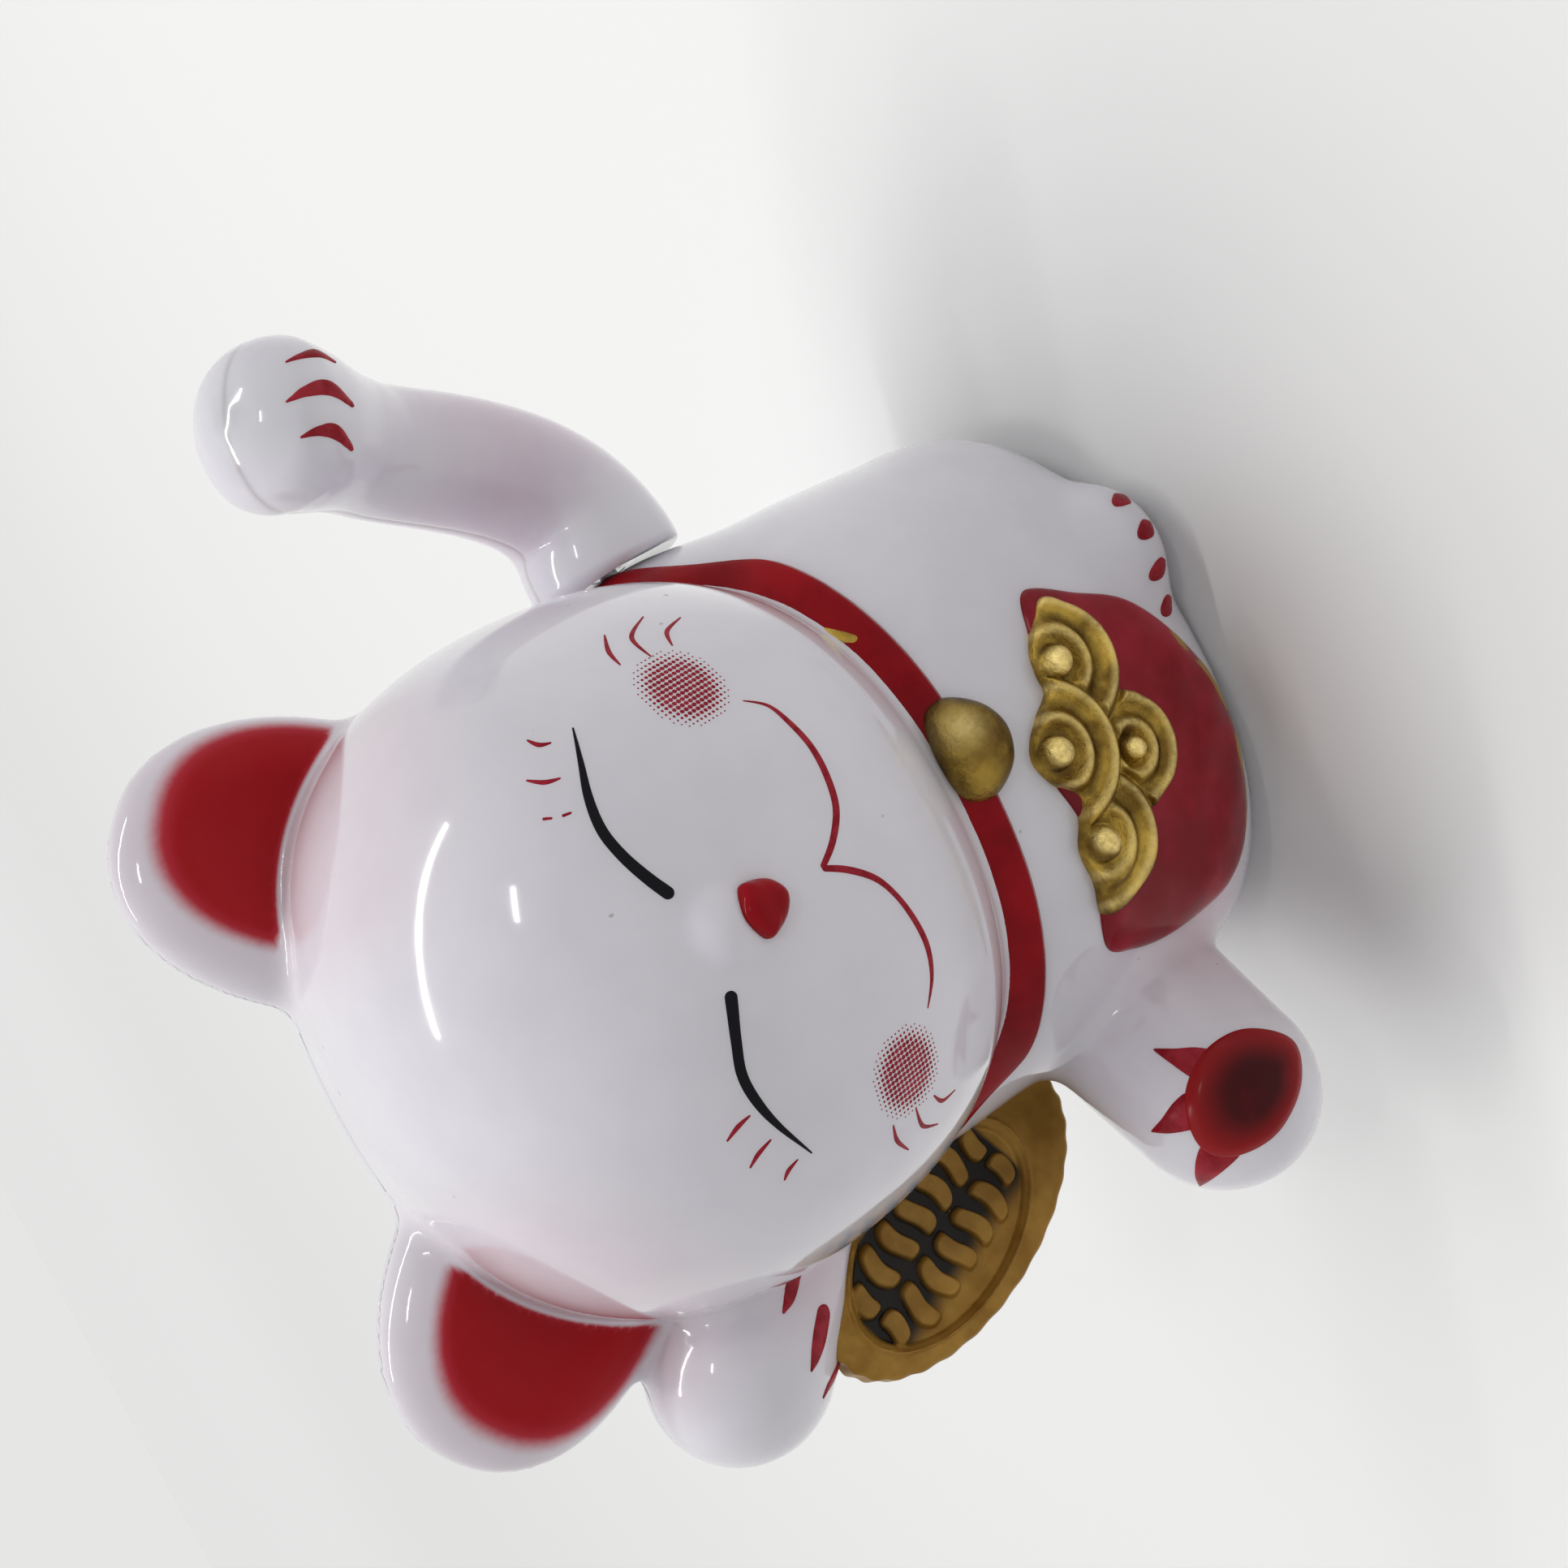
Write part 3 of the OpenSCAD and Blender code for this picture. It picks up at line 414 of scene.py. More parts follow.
def arm_half(side):
    steps, arcs = ((80, 56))
    last = len(arm_way) - 1
    cap = (last - cap_from) * np.sin(np.linspace(0, math.pi / 2, steps))[1:]
    s = np.concatenate([np.linspace(0, cap_from, 2 * steps), cap_from + cap])
    at, size = through(arm_way, s), np.maximum(through(arm_size, s), 0.05)
    run = np.concatenate([[0], np.cumsum(np.linalg.norm(np.diff(at, axis=0), axis=1))])
    over_top = np.clip((run - run[2 * steps - 1]) / (run[-1] - run[2 * steps - 1]), 0, 1)
    size = np.where(s > cap_from, size[2 * steps - 1] * np.sqrt(1 - over_top ** 2), size)
    size = size - 0.9 * np.maximum(1 - s / 0.35, 0) ** 2
    ahead = through(arm_way, np.minimum(s + 0.05, last)) - through(arm_way, np.maximum(s - 0.05, 0))
    ahead = unit(ahead)
    ahead[s < 0.05] = (1, 0, 0)
    front = unit(np.cross(np.array([0.83, 0, -0.56]), ahead))
    front = unit(np.array([0, -1.0, 0]) + step_up(s, 0.6, 4)[:, None] * (front - np.array([0, -1.0, 0])))
    front = unit(front - (front * ahead).sum(-1, keepdims=True) * ahead) * side
    across = np.cross(ahead, front)
    turn = np.linspace(0, math.pi, arcs)
    reach = np.abs(turn - math.pi / 2)
    grids = []
    for inset in (0, 1.3):
        end_wall = 4.2 * np.maximum(1 - s / 0.5, 0) if inset else 0
        r = np.maximum(size - inset - end_wall, 0.02)[:, None]
        if not inset:
            groove = (0.10 - 0.08 * step_up(s, 8, 9.5))[:, None] * step_up(r, 2, 5)
            r = r - groove * np.exp(-((math.pi / 2 - reach) * r / 0.35) ** 2)
        square = 2 + 0.3 * (step_up(s, 6, 8) * step_up(s, 11, 8.5))[:, None]
        c, d = (np.sign(w) * np.abs(w) ** (2 / square) for w in (np.cos(turn)[None], np.sin(turn)[None]))
        ring = c[..., None] * across[:, None] + d[..., None] * front[:, None]
        grid = at[:, None] + r[..., None] * ring
        if not inset:  # the root's edge follows the slope of the shoulder, clear of it over the whole swing
            facing = 1 + ring @ np.array([0, 0.342, 0.94])
            grid[..., 0] -= 0.75 * facing * np.maximum(1 - s / 0.6, 0)[:, None]
        bend = (0.5 * step_up(s, 0.4, 1.5) * step_up(s, 6.5, 5.5))[1:-1, None, None]
        for _ in range(240):
            grid[1:-1] += bend * ((grid[:-2] + grid[2:]) / 2 - grid[1:-1])
        grids.append(grid)
    edge = np.exp(-((math.pi / 2 - reach)[None] * size[:, None] / 0.3) ** 2)
    points, faces = closed_sheet(*grids)
    # Painted pink shade in a band round the bend of the arm.
    painted_elbow_shade = np.broadcast_to(0.34 * np.exp(-((s - 4.3) / 1.8) ** 2)[:, None], edge.shape)
    return points, faces, np.tile(edge.ravel(), 2), np.tile(painted_elbow_shade.ravel(), 2)

arm_paint = shell_finish("arm_plastic")
arm_cloud = arm_paint.grain(110.0)
arm_tint = arm_paint.blend(arm_cloud.over(0.35, 0.7), white_plastic, (0.71, 0.68, 0.745))
# The arm's pink tint is painted shade at its bend, mottled by the cloud.
arm_tint = arm_paint.blend(arm_paint.value("pink_overspray_and_painted_shade") * (0.6 + 0.8 * arm_cloud), arm_tint, (0.56, 0.33, 0.43))
arm_dirt = arm_paint.value("seam") * (0.1 + 0.6 * arm_paint.grain(300.0, 4.0))
arm_paint.feed("Base Color", arm_paint.blend(arm_dirt, arm_tint, (0.45, 0.38, 0.38)))
arm_paint.feed("Roughness", 0.10 + 0.12 * arm_paint.grain(180.0, 5.0, 0.6).over(0.4, 0.75))
arm_paint.bump(arm_cloud, 0.0001, 0.5)

for side, name in ((1, "front"), (-1, "rear")):
    points, faces, seam, painted_elbow_shade = arm_half(side)
    half = add_piece("arm_" + name + "_moulding", points, faces, arm_paint, "arm",
                     {"seam": seam, "pink_overspray_and_painted_shade": painted_elbow_shade})
    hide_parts("arm_" + name + "_half")

# ---------------- the coin
# An oval coin of amber lacquered plastic, moulded on its own and pressed in between paw, cheek and leg.
# Its rim is gently scalloped, and dark wash lies between the bars of its sunk panel.

coin_half = (9.7, 18.8)
coin_thick = 3
coin_middle = np.array([-38.3, -1.3, 46])

def into_coin_place(p):
    """From the coin's own plane, with z out of its face, to where it is held."""
    turn = Matrix.Rotation(math.radians(12), 3, "Z") @ Matrix.Rotation(math.radians(-16), 3, "Y")
    turn = np.array(turn @ Matrix.Rotation(math.radians(90), 3, "X"))
    return p @ turn.T + coin_middle

def oval_share(u, v, half_u, half_v):
    return np.hypot(u / half_u, v / half_v)

def coin_relief(u, v):
    """Height of the face over its border, and how much dark wash has stayed there."""
    ring = oval_share(u + 0.3, v - 2.4, 7.6, 13.4)
    inside = step_up(ring, 0.95, 0.90)
    line = 0.45 * np.exp(-((ring - 0.985) / 0.022) ** 2)
    row = (v - 2.9) / 3.3
    nearest = np.clip(np.round(row), -3, 3)
    off = (row - nearest) * 3.3 + 0.35 * np.sin(u * 1.1 + nearest)
    half_long = np.where(np.abs(nearest) > 2, 3.4, 4.9)
    left, right = (u + 0.2 + half_long / 2) / (half_long / 2), (u - 0.2 - half_long / 2) / (half_long / 2)
    bar = np.minimum(np.abs(left), np.abs(right)) ** 4 + np.abs(off / 1.15) ** 3
    raised = step_up(bar, 1.25, 0.35)
    within = step_up(np.abs(u), 6.2, 5.2) * step_up(np.abs(v - 2.9), 12.2, 11.0)
    hollow = inside * (-0.55 + 0.75 * raised)
    wash = within * inside * (0.25 + 0.75 * step_up(bar, 0.5, 1.5)) * step_up(u, -6.4, -1.5)
    return line + hollow, np.clip(wash, 0, 1)

def coin_mesh():
    rings, around = ((112, 400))
    a = np.arange(around) * 2 * math.pi / around
    share = np.linspace(0, 1, rings + 1)[1:]
    scallop = 0.006
    reach = (1 + scallop * np.cos(30 * a) * step_up(share, 0.8, 1)[:, None]) * (1 - scallop)
    reach = share[:, None] * reach
    u, v = reach * coin_half[0] * np.cos(a), reach * coin_half[1] * np.sin(a)
    round_off = 0.5 * (1 - np.sqrt(1 - step_up(share, 0.955, 1.0) ** 2 * 0.96))
    height, wash = coin_relief(u, v)
    tops = np.stack([u, v, coin_thick / 2 + height - round_off[:, None]], -1)
    backs = np.stack([u, v, np.broadcast_to(round_off[:, None] - coin_thick / 2, u.shape)], -1)[::-1]
    middle, _ = coin_relief(np.zeros(1), np.zeros(1))
    points = np.concatenate([[[0, 0, coin_thick / 2 + middle[0]]], tops.reshape(-1, 3),
                             backs.reshape(-1, 3), [[0, 0, -coin_thick / 2]]])
    faces = tube_faces(2 * rings, around)
    washes = np.concatenate([[0.0], wash.ravel(), np.zeros(rings * around + 1)])
    return into_coin_place(points), faces, washes

def tube_faces(rings, around):
    """Faces of a closed skin of rings between two end points, the first at its top."""
    i = np.arange(around)
    j = (i + 1) % around
    faces = [np.stack([0 * i, 1 + i, 1 + j], -1).tolist()]
    for r in range(rings - 1):
        a, b = 1 + r * around, 1 + (r + 1) * around
        faces.append(np.stack([a + i, b + i, b + j, a + j], -1).tolist())
    last = 1 + (rings - 1) * around
    faces.append(np.stack([last + i, 0 * i + last + around, last + j], -1).tolist())
    return [f for group in faces for f in group]

coin_paint = Finish(
    "coin_lacquer", (0.40, 0.21, 0.04), Roughness=0.36, Metallic=0.25, Specular_IOR_Level=0.2)
stain = coin_paint.grain(220.0, 4.0)
gilt = coin_paint.blend(stain.over(0.3, 0.7), (0.25, 0.125, 0.017), (0.39, 0.215, 0.04))
wash = (coin_paint.value("wash") * (0.45 + 1.1 * coin_paint.grain(150.0, 2.0))).over(0.05, 0.85)
coin_paint.feed("Base Color", coin_paint.blend(wash, gilt, (0.010, 0.008, 0.006)))
coin_paint.feed("Metallic", 0.3 - 0.3 * wash)
coin_paint.feed("Roughness", 0.30 + 0.16 * stain)
coin_paint.bump(coin_paint.grain(900.0, 3.0), 0.00006, 0.6)
points, faces, washes = coin_mesh()
koban = add_piece("koban", points, faces, coin_paint, "figurine", {"wash": washes})
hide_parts("koban_coin")

# ---------------- printed face
# Eyes, lashes, mouth and whiskers are pad-printed lines, a film of ink just proud of the plastic.
# The eyes are black and the rest is red, on a pad that went on slightly turned.

def on_front(flat, gap):
    """Where straight lines from in front of the cat first meet its surface."""
    flat = np.asarray(flat, float)
    p = np.stack([flat[..., 0], np.full(flat.shape[:-1], -46.0), flat[..., 1]], -1)
    for _ in range(70):
        p[..., 1] += 0.8 * np.clip(gap(p), -1, 6)
    return p

def settle(points, gap):
    """The nearest points of the surface, with the way out of it."""
    points = np.array(points, float)
    for _ in range(8):
        grade = slope(points, gap)
        step = gap(points) / np.maximum((grade ** 2).sum(-1), 0.05)
        points -= np.clip(step, -1.5, 1.5)[..., None] * grade
    return points, unit(slope(points, gap))

def stroke(path, width, proud=0.035, gap=cat_gap, lift=0.0):
    """One brushed or printed line over a surface: points of a thin closed solid, with its faces."""
    path, width = np.asarray(path, float), np.asarray(width, float)
    t = (1 - np.cos(np.linspace(0, math.pi, 8 * len(path) + 8))) / 2
    at, w = through(path, t * (len(path) - 1)), np.maximum(through(width, t * (len(path) - 1)), 0.02)
    at = on_front(at, gap) if path.shape[1] == 2 else at
    at, out = settle(at, gap)
    along = np.gradient(at, axis=0)
    run = np.concatenate([[0], np.cumsum(np.linalg.norm(np.diff(at, axis=0), axis=1))])
    near_end = np.clip(np.minimum(run, run[-1] - run) / (w / 2), 0, 1)
    w = w * np.sqrt(np.maximum(1 - (1 - near_end) ** 2, 0.01))
    side = unit(np.cross(out, unit(along)))
    u = np.linspace(-1, 1, 9)
    base, out = settle(at[:, None] + (w / 2)[:, None, None] * u[None, :, None] * side[:, None], gap)
    dome = (lift + proud * np.sqrt(1 - 0.97 * u ** 2))[None, :, None]
    return closed_sheet(base + dome * out, base - 0.12 * out)

def joined(parts):
    points, faces, start = [], [], 0
    for p, f in parts:
        points.append(p)
        faces += [[n + start for n in face] for face in f]
        start += len(p)
    return np.concatenate(points), faces

eyes = [
    ([(-18.6, 67.9), (-15.2, 69.8), (-12.5, 70.8), (-10, 71.1), (-7.5, 70.5), (-5.4, 69.8), (-4, 69.3)],
     [0.14, 0.52, 0.78, 0.84, 0.86, 0.96, 1.02]),
    ([(4.2, 69.7), (6.3, 70.6), (8.7, 71.3), (11.1, 71.5), (13.7, 70.9), (16.4, 69.7), (19.1, 68.4)],
     [1.02, 0.96, 0.88, 0.84, 0.72, 0.46, 0.14])]
lashes = [
    [(-19.4, 70.5), (-18.8, 70), (-18.4, 69.1)], [(-16.9, 72.8), (-16.2, 71.9), (-15.7, 70.7)],
    [(-14, 73.8), (-13.4, 72.7), (-13.1, 71.6)], [(13.9, 74.4), (13.6, 73.8)], [(13.4, 73.2), (13.3, 72.5)],
    [(17.1, 73.6), (16.3, 72.7), (16, 71.6)], [(19.9, 71.6), (19.1, 71.2), (18.8, 70.4)]]
mouth = [
    ([(-13.9, 54), (-11.9, 52.5), (-9.7, 51.8), (-7.4, 51.9), (-4.7, 52.6), (-2.5, 53.8), (-0.7, 55.9),
      (0.4, 57.9)],
     [0.14, 0.46, 0.64, 0.64, 0.56, 0.58, 0.60, 0.5]),
    ([(0.4, 57.9), (1.8, 55.8), (3.9, 53.9), (6.5, 53), (9.1, 52.7), (11.6, 53.1), (13.6, 53.8),
      (14.9, 55.5)],
     [0.5, 0.62, 0.68, 0.70, 0.66, 0.58, 0.36, 0.12])]
whiskers = [
    [(-24, 58.5), (-22.4, 59.8), (-20.8, 60.1)], [(-23.8, 54.8), (-22.8, 56.8), (-20.8, 57.5)],
    [(-22, 52.4), (-22, 54.2), (-20.9, 55.3)], [(22, 61.6), (23.5, 61.3), (25.1, 60.1)],
    [(21.5, 59), (23.8, 58.7), (25.2, 55.9)], [(21.6, 56.7), (23, 55.8), (23.7, 53.4)]]

black_ink = Finish("black_ink", (0.004, 0.004, 0.006), Roughness=0.3, Specular_IOR_Level=0.12)
black_ink.feed("Roughness", 0.18 + 0.25 * black_ink.grain(700.0, 4.0))
black_ink.bump(black_ink.grain(1600.0, 2.0), 0.00003, 0.5)
red_ink = Finish("red_ink", (0.32, 0.006, 0.018), Roughness=0.35, Specular_IOR_Level=0.12)
ink_tone = red_ink.grain(900.0, 4.0).over(0.3, 0.75)
red_ink.feed("Base Color", red_ink.blend(ink_tone, (0.26, 0.004, 0.014), (0.38, 0.022, 0.04)))
red_ink.feed("Roughness", 0.22 + 0.25 * ink_tone)

points, faces = joined([stroke(path, width, 0.05) for path, width in eyes])
add_piece("eye_lines", points, faces, black_ink, "figurine")
fine_widths = {3: [0.16, 0.42, 0.16], 2: [0.26, 0.2]}
fine_lines = [stroke(path, fine_widths[len(path)]) for path in lashes + whiskers]
points, faces = joined(fine_lines + [stroke(path, width) for path, width in mouth])
add_piece("mouth_and_whiskers", points, faces, red_ink, "figurine")

# ---------------- cheek dots
# Each cheek is a round of printed halftone, sixty dots to the inch, the dots shrinking towards its edge.
# The two rounds sit on the same slightly turned screen.

cheeks = ((-17.4, 57.7), (18.1, 59))
cheek_radius = 3.75
dot_pitch = 25.4 / 60

def dots_tree():
    """Flat round dots at the points of a mesh, sized and turned by their attributes."""
    tree = bpy.data.node_groups.new("halftone", "GeometryNodeTree")
    face = tree.interface
    face.new_socket("Points", in_out="INPUT", socket_type="NodeSocketGeometry")
    for key, value in (("Dot radius", 0.0001), ("Dot height", 0.2)):
        face.new_socket(key, in_out="INPUT", socket_type="NodeSocketFloat").default_value = value
    face.new_socket("Ink", in_out="INPUT", socket_type="NodeSocketMaterial")
    face.new_socket("Dots", in_out="OUTPUT", socket_type="NodeSocketGeometry")

    def add(kind, sockets, **settings):
        return new_node(tree, kind, settings, sockets)

    given = add("NodeGroupInput", {}).outputs
    dot = add("GeometryNodeMeshUVSphere", {"Segments": 12, "Rings": 6, "Radius": 1.0})
    named = "GeometryNodeInputNamedAttribute"
    size = add(named, {"Name": "size"}, data_type="FLOAT").outputs["Attribute"]
    out = add(named, {"Name": "out"}, data_type="FLOAT_VECTOR").outputs["Attribute"]
    radius, height = given["Dot radius"], given["Dot height"]
    wide = add("ShaderNodeMath", {0: size, 1: radius}, operation="MULTIPLY").outputs[0]
    high = add("ShaderNodeMath", {0: radius, 1: height}, operation="MULTIPLY").outputs[0]
    scale = add("ShaderNodeCombineXYZ", {"X": wide, "Y": wide, "Z": high}).outputs[0]
    turn = add("FunctionNodeAlignRotationToVector", {"Vector": out}, axis="Z").outputs[0]
    put = add("GeometryNodeInstanceOnPoints", {
        "Points": given["Points"], "Instance": dot.outputs["Mesh"], "Rotation": turn, "Scale": scale})
    real = add("GeometryNodeRealizeInstances", {"Geometry": put.outputs[0]})
    inked = add("GeometryNodeSetMaterial", {"Geometry": real.outputs[0], "Material": given["Ink"]})
    add("NodeGroupOutput", {"Dots": inked.outputs[0]})
    return tree

def cheek_points():
    turn = math.radians(4)
    steps = np.arange(-10, 11) * dot_pitch
    flat = np.stack(np.meshgrid(steps, steps), -1).reshape(-1, 2)
    far = np.linalg.norm(flat, axis=1)
    keep = far < cheek_radius
    flat = flat[keep] @ np.array([[math.cos(turn), math.sin(turn)], [-math.sin(turn), math.cos(turn)]])
    size = 0.34 + 0.66 * step_up(cheek_radius - far[keep], 0, 1.7)
    return flat, size

points, outs, sizes = [], [], []
for cheek in cheeks:
    flat, size = cheek_points()
    at, out = settle(on_front(flat + np.array(cheek), cat_gap), cat_gap)
    points.append(at)
    outs.append(out)
    sizes.append(size)
dot_mesh = bpy.data.meshes.new("cheek_points")
dot_mesh.from_pydata((np.concatenate(points) * 0.001).tolist(), [], [])
dot_sizes = dot_mesh.attributes.new("size", "FLOAT", "POINT")
dot_sizes.data.foreach_set("value", np.concatenate(sizes).astype(np.float32))
dot_outs = dot_mesh.attributes.new("out", "FLOAT_VECTOR", "POINT")
dot_outs.data.foreach_set("vector", np.concatenate(outs).astype(np.float32).ravel())
dot_source = bpy.data.objects.new("cheek_points", dot_mesh)
scene.collection.objects.link(dot_source)
modifier = dot_source.modifiers.new("halftone", "NODES")
modifier.node_group = dots_tree()
items = modifier.node_group.interface.items_tree
inputs = {item.name: item.identifier for item in items if item.in_out == "INPUT"}
modifier[inputs["Dot radius"]] = dot_pitch * 0.00050
modifier[inputs["Dot height"]] = 0.16
modifier[inputs["Ink"]] = red_ink.material
dotted = bpy.data.meshes.new_from_object(dot_source.evaluated_get(bpy.context.evaluated_depsgraph_get()))
bpy.data.objects.remove(dot_source)
cheek_dots = bpy.data.objects.new("cheek_dots", dotted)
scene.collection.objects.link(cheek_dots)
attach(cheek_dots, "figurine")

# ---------------- nose
# A raised rounded triangle below the bump of the snout, painted glossy red by hand.
# It is the first of the low closed reliefs laid over the cat's surface.

def patch(outline, middle, height, gap=cat_gap, rings=12, around=72, flat=True):
    """A low closed relief inside an outline on a surface. Height takes the share out and the points."""
    outline = np.asarray(outline, float)
    n = len(outline)
    looped = np.concatenate([outline[-2:], outline, outline[:3]])
    edge = through(looped, 2 + np.arange(around) * n / around)
    share = np.sin(np.linspace(0, math.pi / 2, rings + 1)) if rings < 30 else np.linspace(0, 1, rings + 1)
    net_points = np.asarray(middle, float) + share[1:, None, None] * (edge - np.asarray(middle, float))
    centre = np.asarray(middle, float)[None]
    if flat:
        net_points, centre = on_front(net_points, gap), on_front(centre, gap)
    base, out = settle(net_points, gap)
    mid, mid_out = settle(centre, gap)
    up = height(np.broadcast_to(share[1:, None], base.shape[:2]), base)[..., None]
    mid_up = height(np.zeros(1), mid)[:, None]
    tops = base + up * out
    low = (base - 0.3 * out)[::-1]
    ends = mid + mid_up * mid_out, mid - 0.3 * mid_out
    points = np.concatenate([ends[0], tops.reshape(-1, 3), low.reshape(-1, 3), ends[1]])
    share_all = np.concatenate([[0], np.repeat(share[1:], around), np.repeat(share[:0:-1], around), [0]])
    faces = tube_faces(2 * rings, around)
    middle_point = points[0] + (points[-1] - points[0]) * 2
    first = np.array(faces[0])
    a, b, c = points[first]
    if np.cross(b - a, c - a) @ (a - middle_point) < 0:
        faces = [f[::-1] for f in faces]
    return points, faces, share_all

def dome(top, sharp=2.0):
    return lambda share, p: top * np.sqrt(np.maximum(1 - share ** sharp, 0))

red_paint = Finish("red_gloss_paint", (0.28, 0.003, 0.008), Roughness=0.2, Specular_IOR_Level=0.1)
flow = red_paint.grain(150.0, 4.0)
red = red_paint.blend(flow.over(0.3, 0.75), (0.22, 0.001, 0.005), (0.34, 0.004, 0.010))
red_paint.feed("Base Color", red)
red_paint.feed("Roughness", 0.10 + 0.22 * red_paint.grain(380.0, 5.0).over(0.45, 0.8))
red_paint.bump(flow, 0.00014, 0.6)

nose_edge = [
    (-1.8, 65.3), (0.2, 66.2), (2.2, 65.4), (2.5, 64.3), (1.9, 62.6), (0.4, 61.7), (-1.1, 62.5), (-2.1, 64.2)]
points, faces, _ = patch(nose_edge, (0.2, 63.8), dome(1.5, 3))
add_piece("nose", points, faces, red_paint, "figurine")

# ---------------- collar and bell
# The collar is a low moulded band in the crease below the head, painted glossy red.
# The bell is a lump moulded on it in front, brushed with gold paint that shows its grain.

collar_drop = 3.5
collar_rise = 0.5

def level_in(ways, heights, gap):
    """Points at these heights on a surface, come to from outside along level lines."""
    p = np.array([0, 1.0, 0]) + 48 * ways[:, None] + heights[..., None] * np.array([0, 0, 1.0])
    for _ in range(60):
        p -= (0.8 * np.clip(gap(p), -1, 6))[..., None] * ways[:, None]
    return p

def collar_mesh():
    around, strips = ((420, 14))
    angle = np.arange(around) * 2 * math.pi / around
    ways = np.stack([np.sin(angle), -np.cos(angle), 0 * angle], -1)
    heights = np.linspace(30, 50, 161)
    p = level_in(ways, heights[None], lambda p: np.minimum(head_gap(p), neckless_gap(p)))
    over = head_gap(p) > neckless_gap(p)
    crease = heights[np.maximum(over.sum(1) - 1, 0)]
    crease = np.convolve(np.concatenate([crease[-6:], crease, crease[:6]]), np.ones(13) / 13, "valid")
    v = np.linspace(0, 1, strips)
    z = crease[:, None] + 0.7 - (collar_drop + 0.7) * v
    base, out = settle(level_in(ways, z, neckless_gap), neckless_gap)
    rise = collar_rise * np.minimum(1, np.sqrt(np.maximum(1 - (2 * v - 1) ** 8, 0)) + 0.02)
    tops, lows = base + rise[None, :, None] * out, base - 0.3 * out
    loop = np.concatenate([tops, lows[:, ::-1]], 1)
    n, m = loop.shape[:2]
    i = np.arange(n)[:, None]
    j = np.arange(m)[None]
    faces = np.stack(np.broadcast_arrays(i * m + j, i * m + (j + 1) % m, (i + 1) % n * m + (j + 1) % m,
                                         (i + 1) % n * m + j), -1).reshape(-1, 4)
    return loop.reshape(-1, 3), faces[:, ::-1]

points, faces = collar_mesh()
add_piece("collar", points, faces, red_paint, "figurine")

gold_paint = Finish("gold_paint", (0.40, 0.25, 0.035), Metallic=0.8, Roughness=0.3)
flake = gold_paint.grain(1500.0, 4.0, 0.7)
brushing = gold_paint.grain(260.0, 3.0)
gold = gold_paint.blend(brushing.over(0.3, 0.7), (0.15, 0.08, 0.008), (0.55, 0.36, 0.06))
gold = gold_paint.blend(flake.over(0.55, 0.75) * 0.5, gold, (0.10, 0.05, 0.006))
# Painted highlight: bright gold glints where the shine attribute says, on the bell's upper right and the
# raised tops of the fans.
gold = gold_paint.blend(gold_paint.value("shine") * (1.8 * flake - 0.1), gold, (0.95, 0.74, 0.28))
# Painted shade: darker where the hollow attribute says, under the bell and down in the hollows of the fans.
gold_paint.feed("Base Color", gold_paint.blend(gold_paint.value("hollow"), gold, (0.05, 0.025, 0.003)))
gold_paint.feed("Roughness", 0.2 + 0.22 * flake)
gold_paint.bump(flake + 0.6 * brushing, 0.0002, 0.9)

bell_edge = [
    (-2.7, 34.9), (-1.9, 36.9), (0.6, 37.6), (3.8, 37.5), (6.5, 36.7), (7.3, 34.9), (6.4, 32.9), (4.6, 31.2),
    (2.2, 30.5), (-0.4, 31.3), (-2, 33)]
points, faces, share = patch(bell_edge, (2.4, 34.6), dome(2.9, 2.4), neckless_gap, 26, 120)
# The whole bell is darkened a little, with painted shade on its underside and a painted highlight on its
# upper right.
painted_underside_shade = step_up(share, 0.5, 1.0) * step_up(points[:, 2], 36.5, 33)
painted_highlight = np.exp(-((points[:, 0] - 4.2) ** 2 + (points[:, 2] - 35.6) ** 2) / 2.6)
painted_shade_and_highlights = {"hollow": 0.4 + 0.45 * painted_underside_shade, "shine": painted_highlight}
add_piece("bell", points, faces, gold_paint, "figurine", painted_shade_and_highlights)
mark_edge = [(15.2, 37.7), (16.1, 38.6), (17.6, 39.3), (17.9, 38.8), (16.9, 38), (15.6, 37.2)]
mark_height = lambda share, p: 0.5 + 0.12 * (1 - share ** 4)
points, faces, _ = patch(mark_edge, (16.5, 38.3), mark_height, neckless_gap)
add_piece("collar_mark", points, faces, gold_paint, "figurine")

# ---------------- bib
# A padded bib moulded on the belly, painted glossy red, with four overlapping gold fans across its top.
# A little of the gold has caught along its lower edge.

bib_edge = [
    (-20.6, 28.6), (-22.6, 25), (-23.6, 20.5), (-23.7, 15), (-22.7, 9.7), (-18.9, 6.1), (-11.5, 3.6),
    (-4.7, 3.2), (1.5, 5.9), (7, 10), (9.9, 15.1), (12.3, 20.3), (8, 23), (3, 24.6), (0, 28), (-4, 28.6),
    (-9, 27.6), (-15, 28.4)]
bib_middle = (-6.5, 16.5)

def bib_height(share, p):
    soft = 1.15 * np.sqrt(np.maximum(1 - share ** 7, 0)) + 0.02
    rumple = 0.16 * np.sin(p[..., 0] * 0.9 + 1.5) * np.cos(p[..., 2] * 0.8) * (1 - share ** 4)
    return soft + rumple

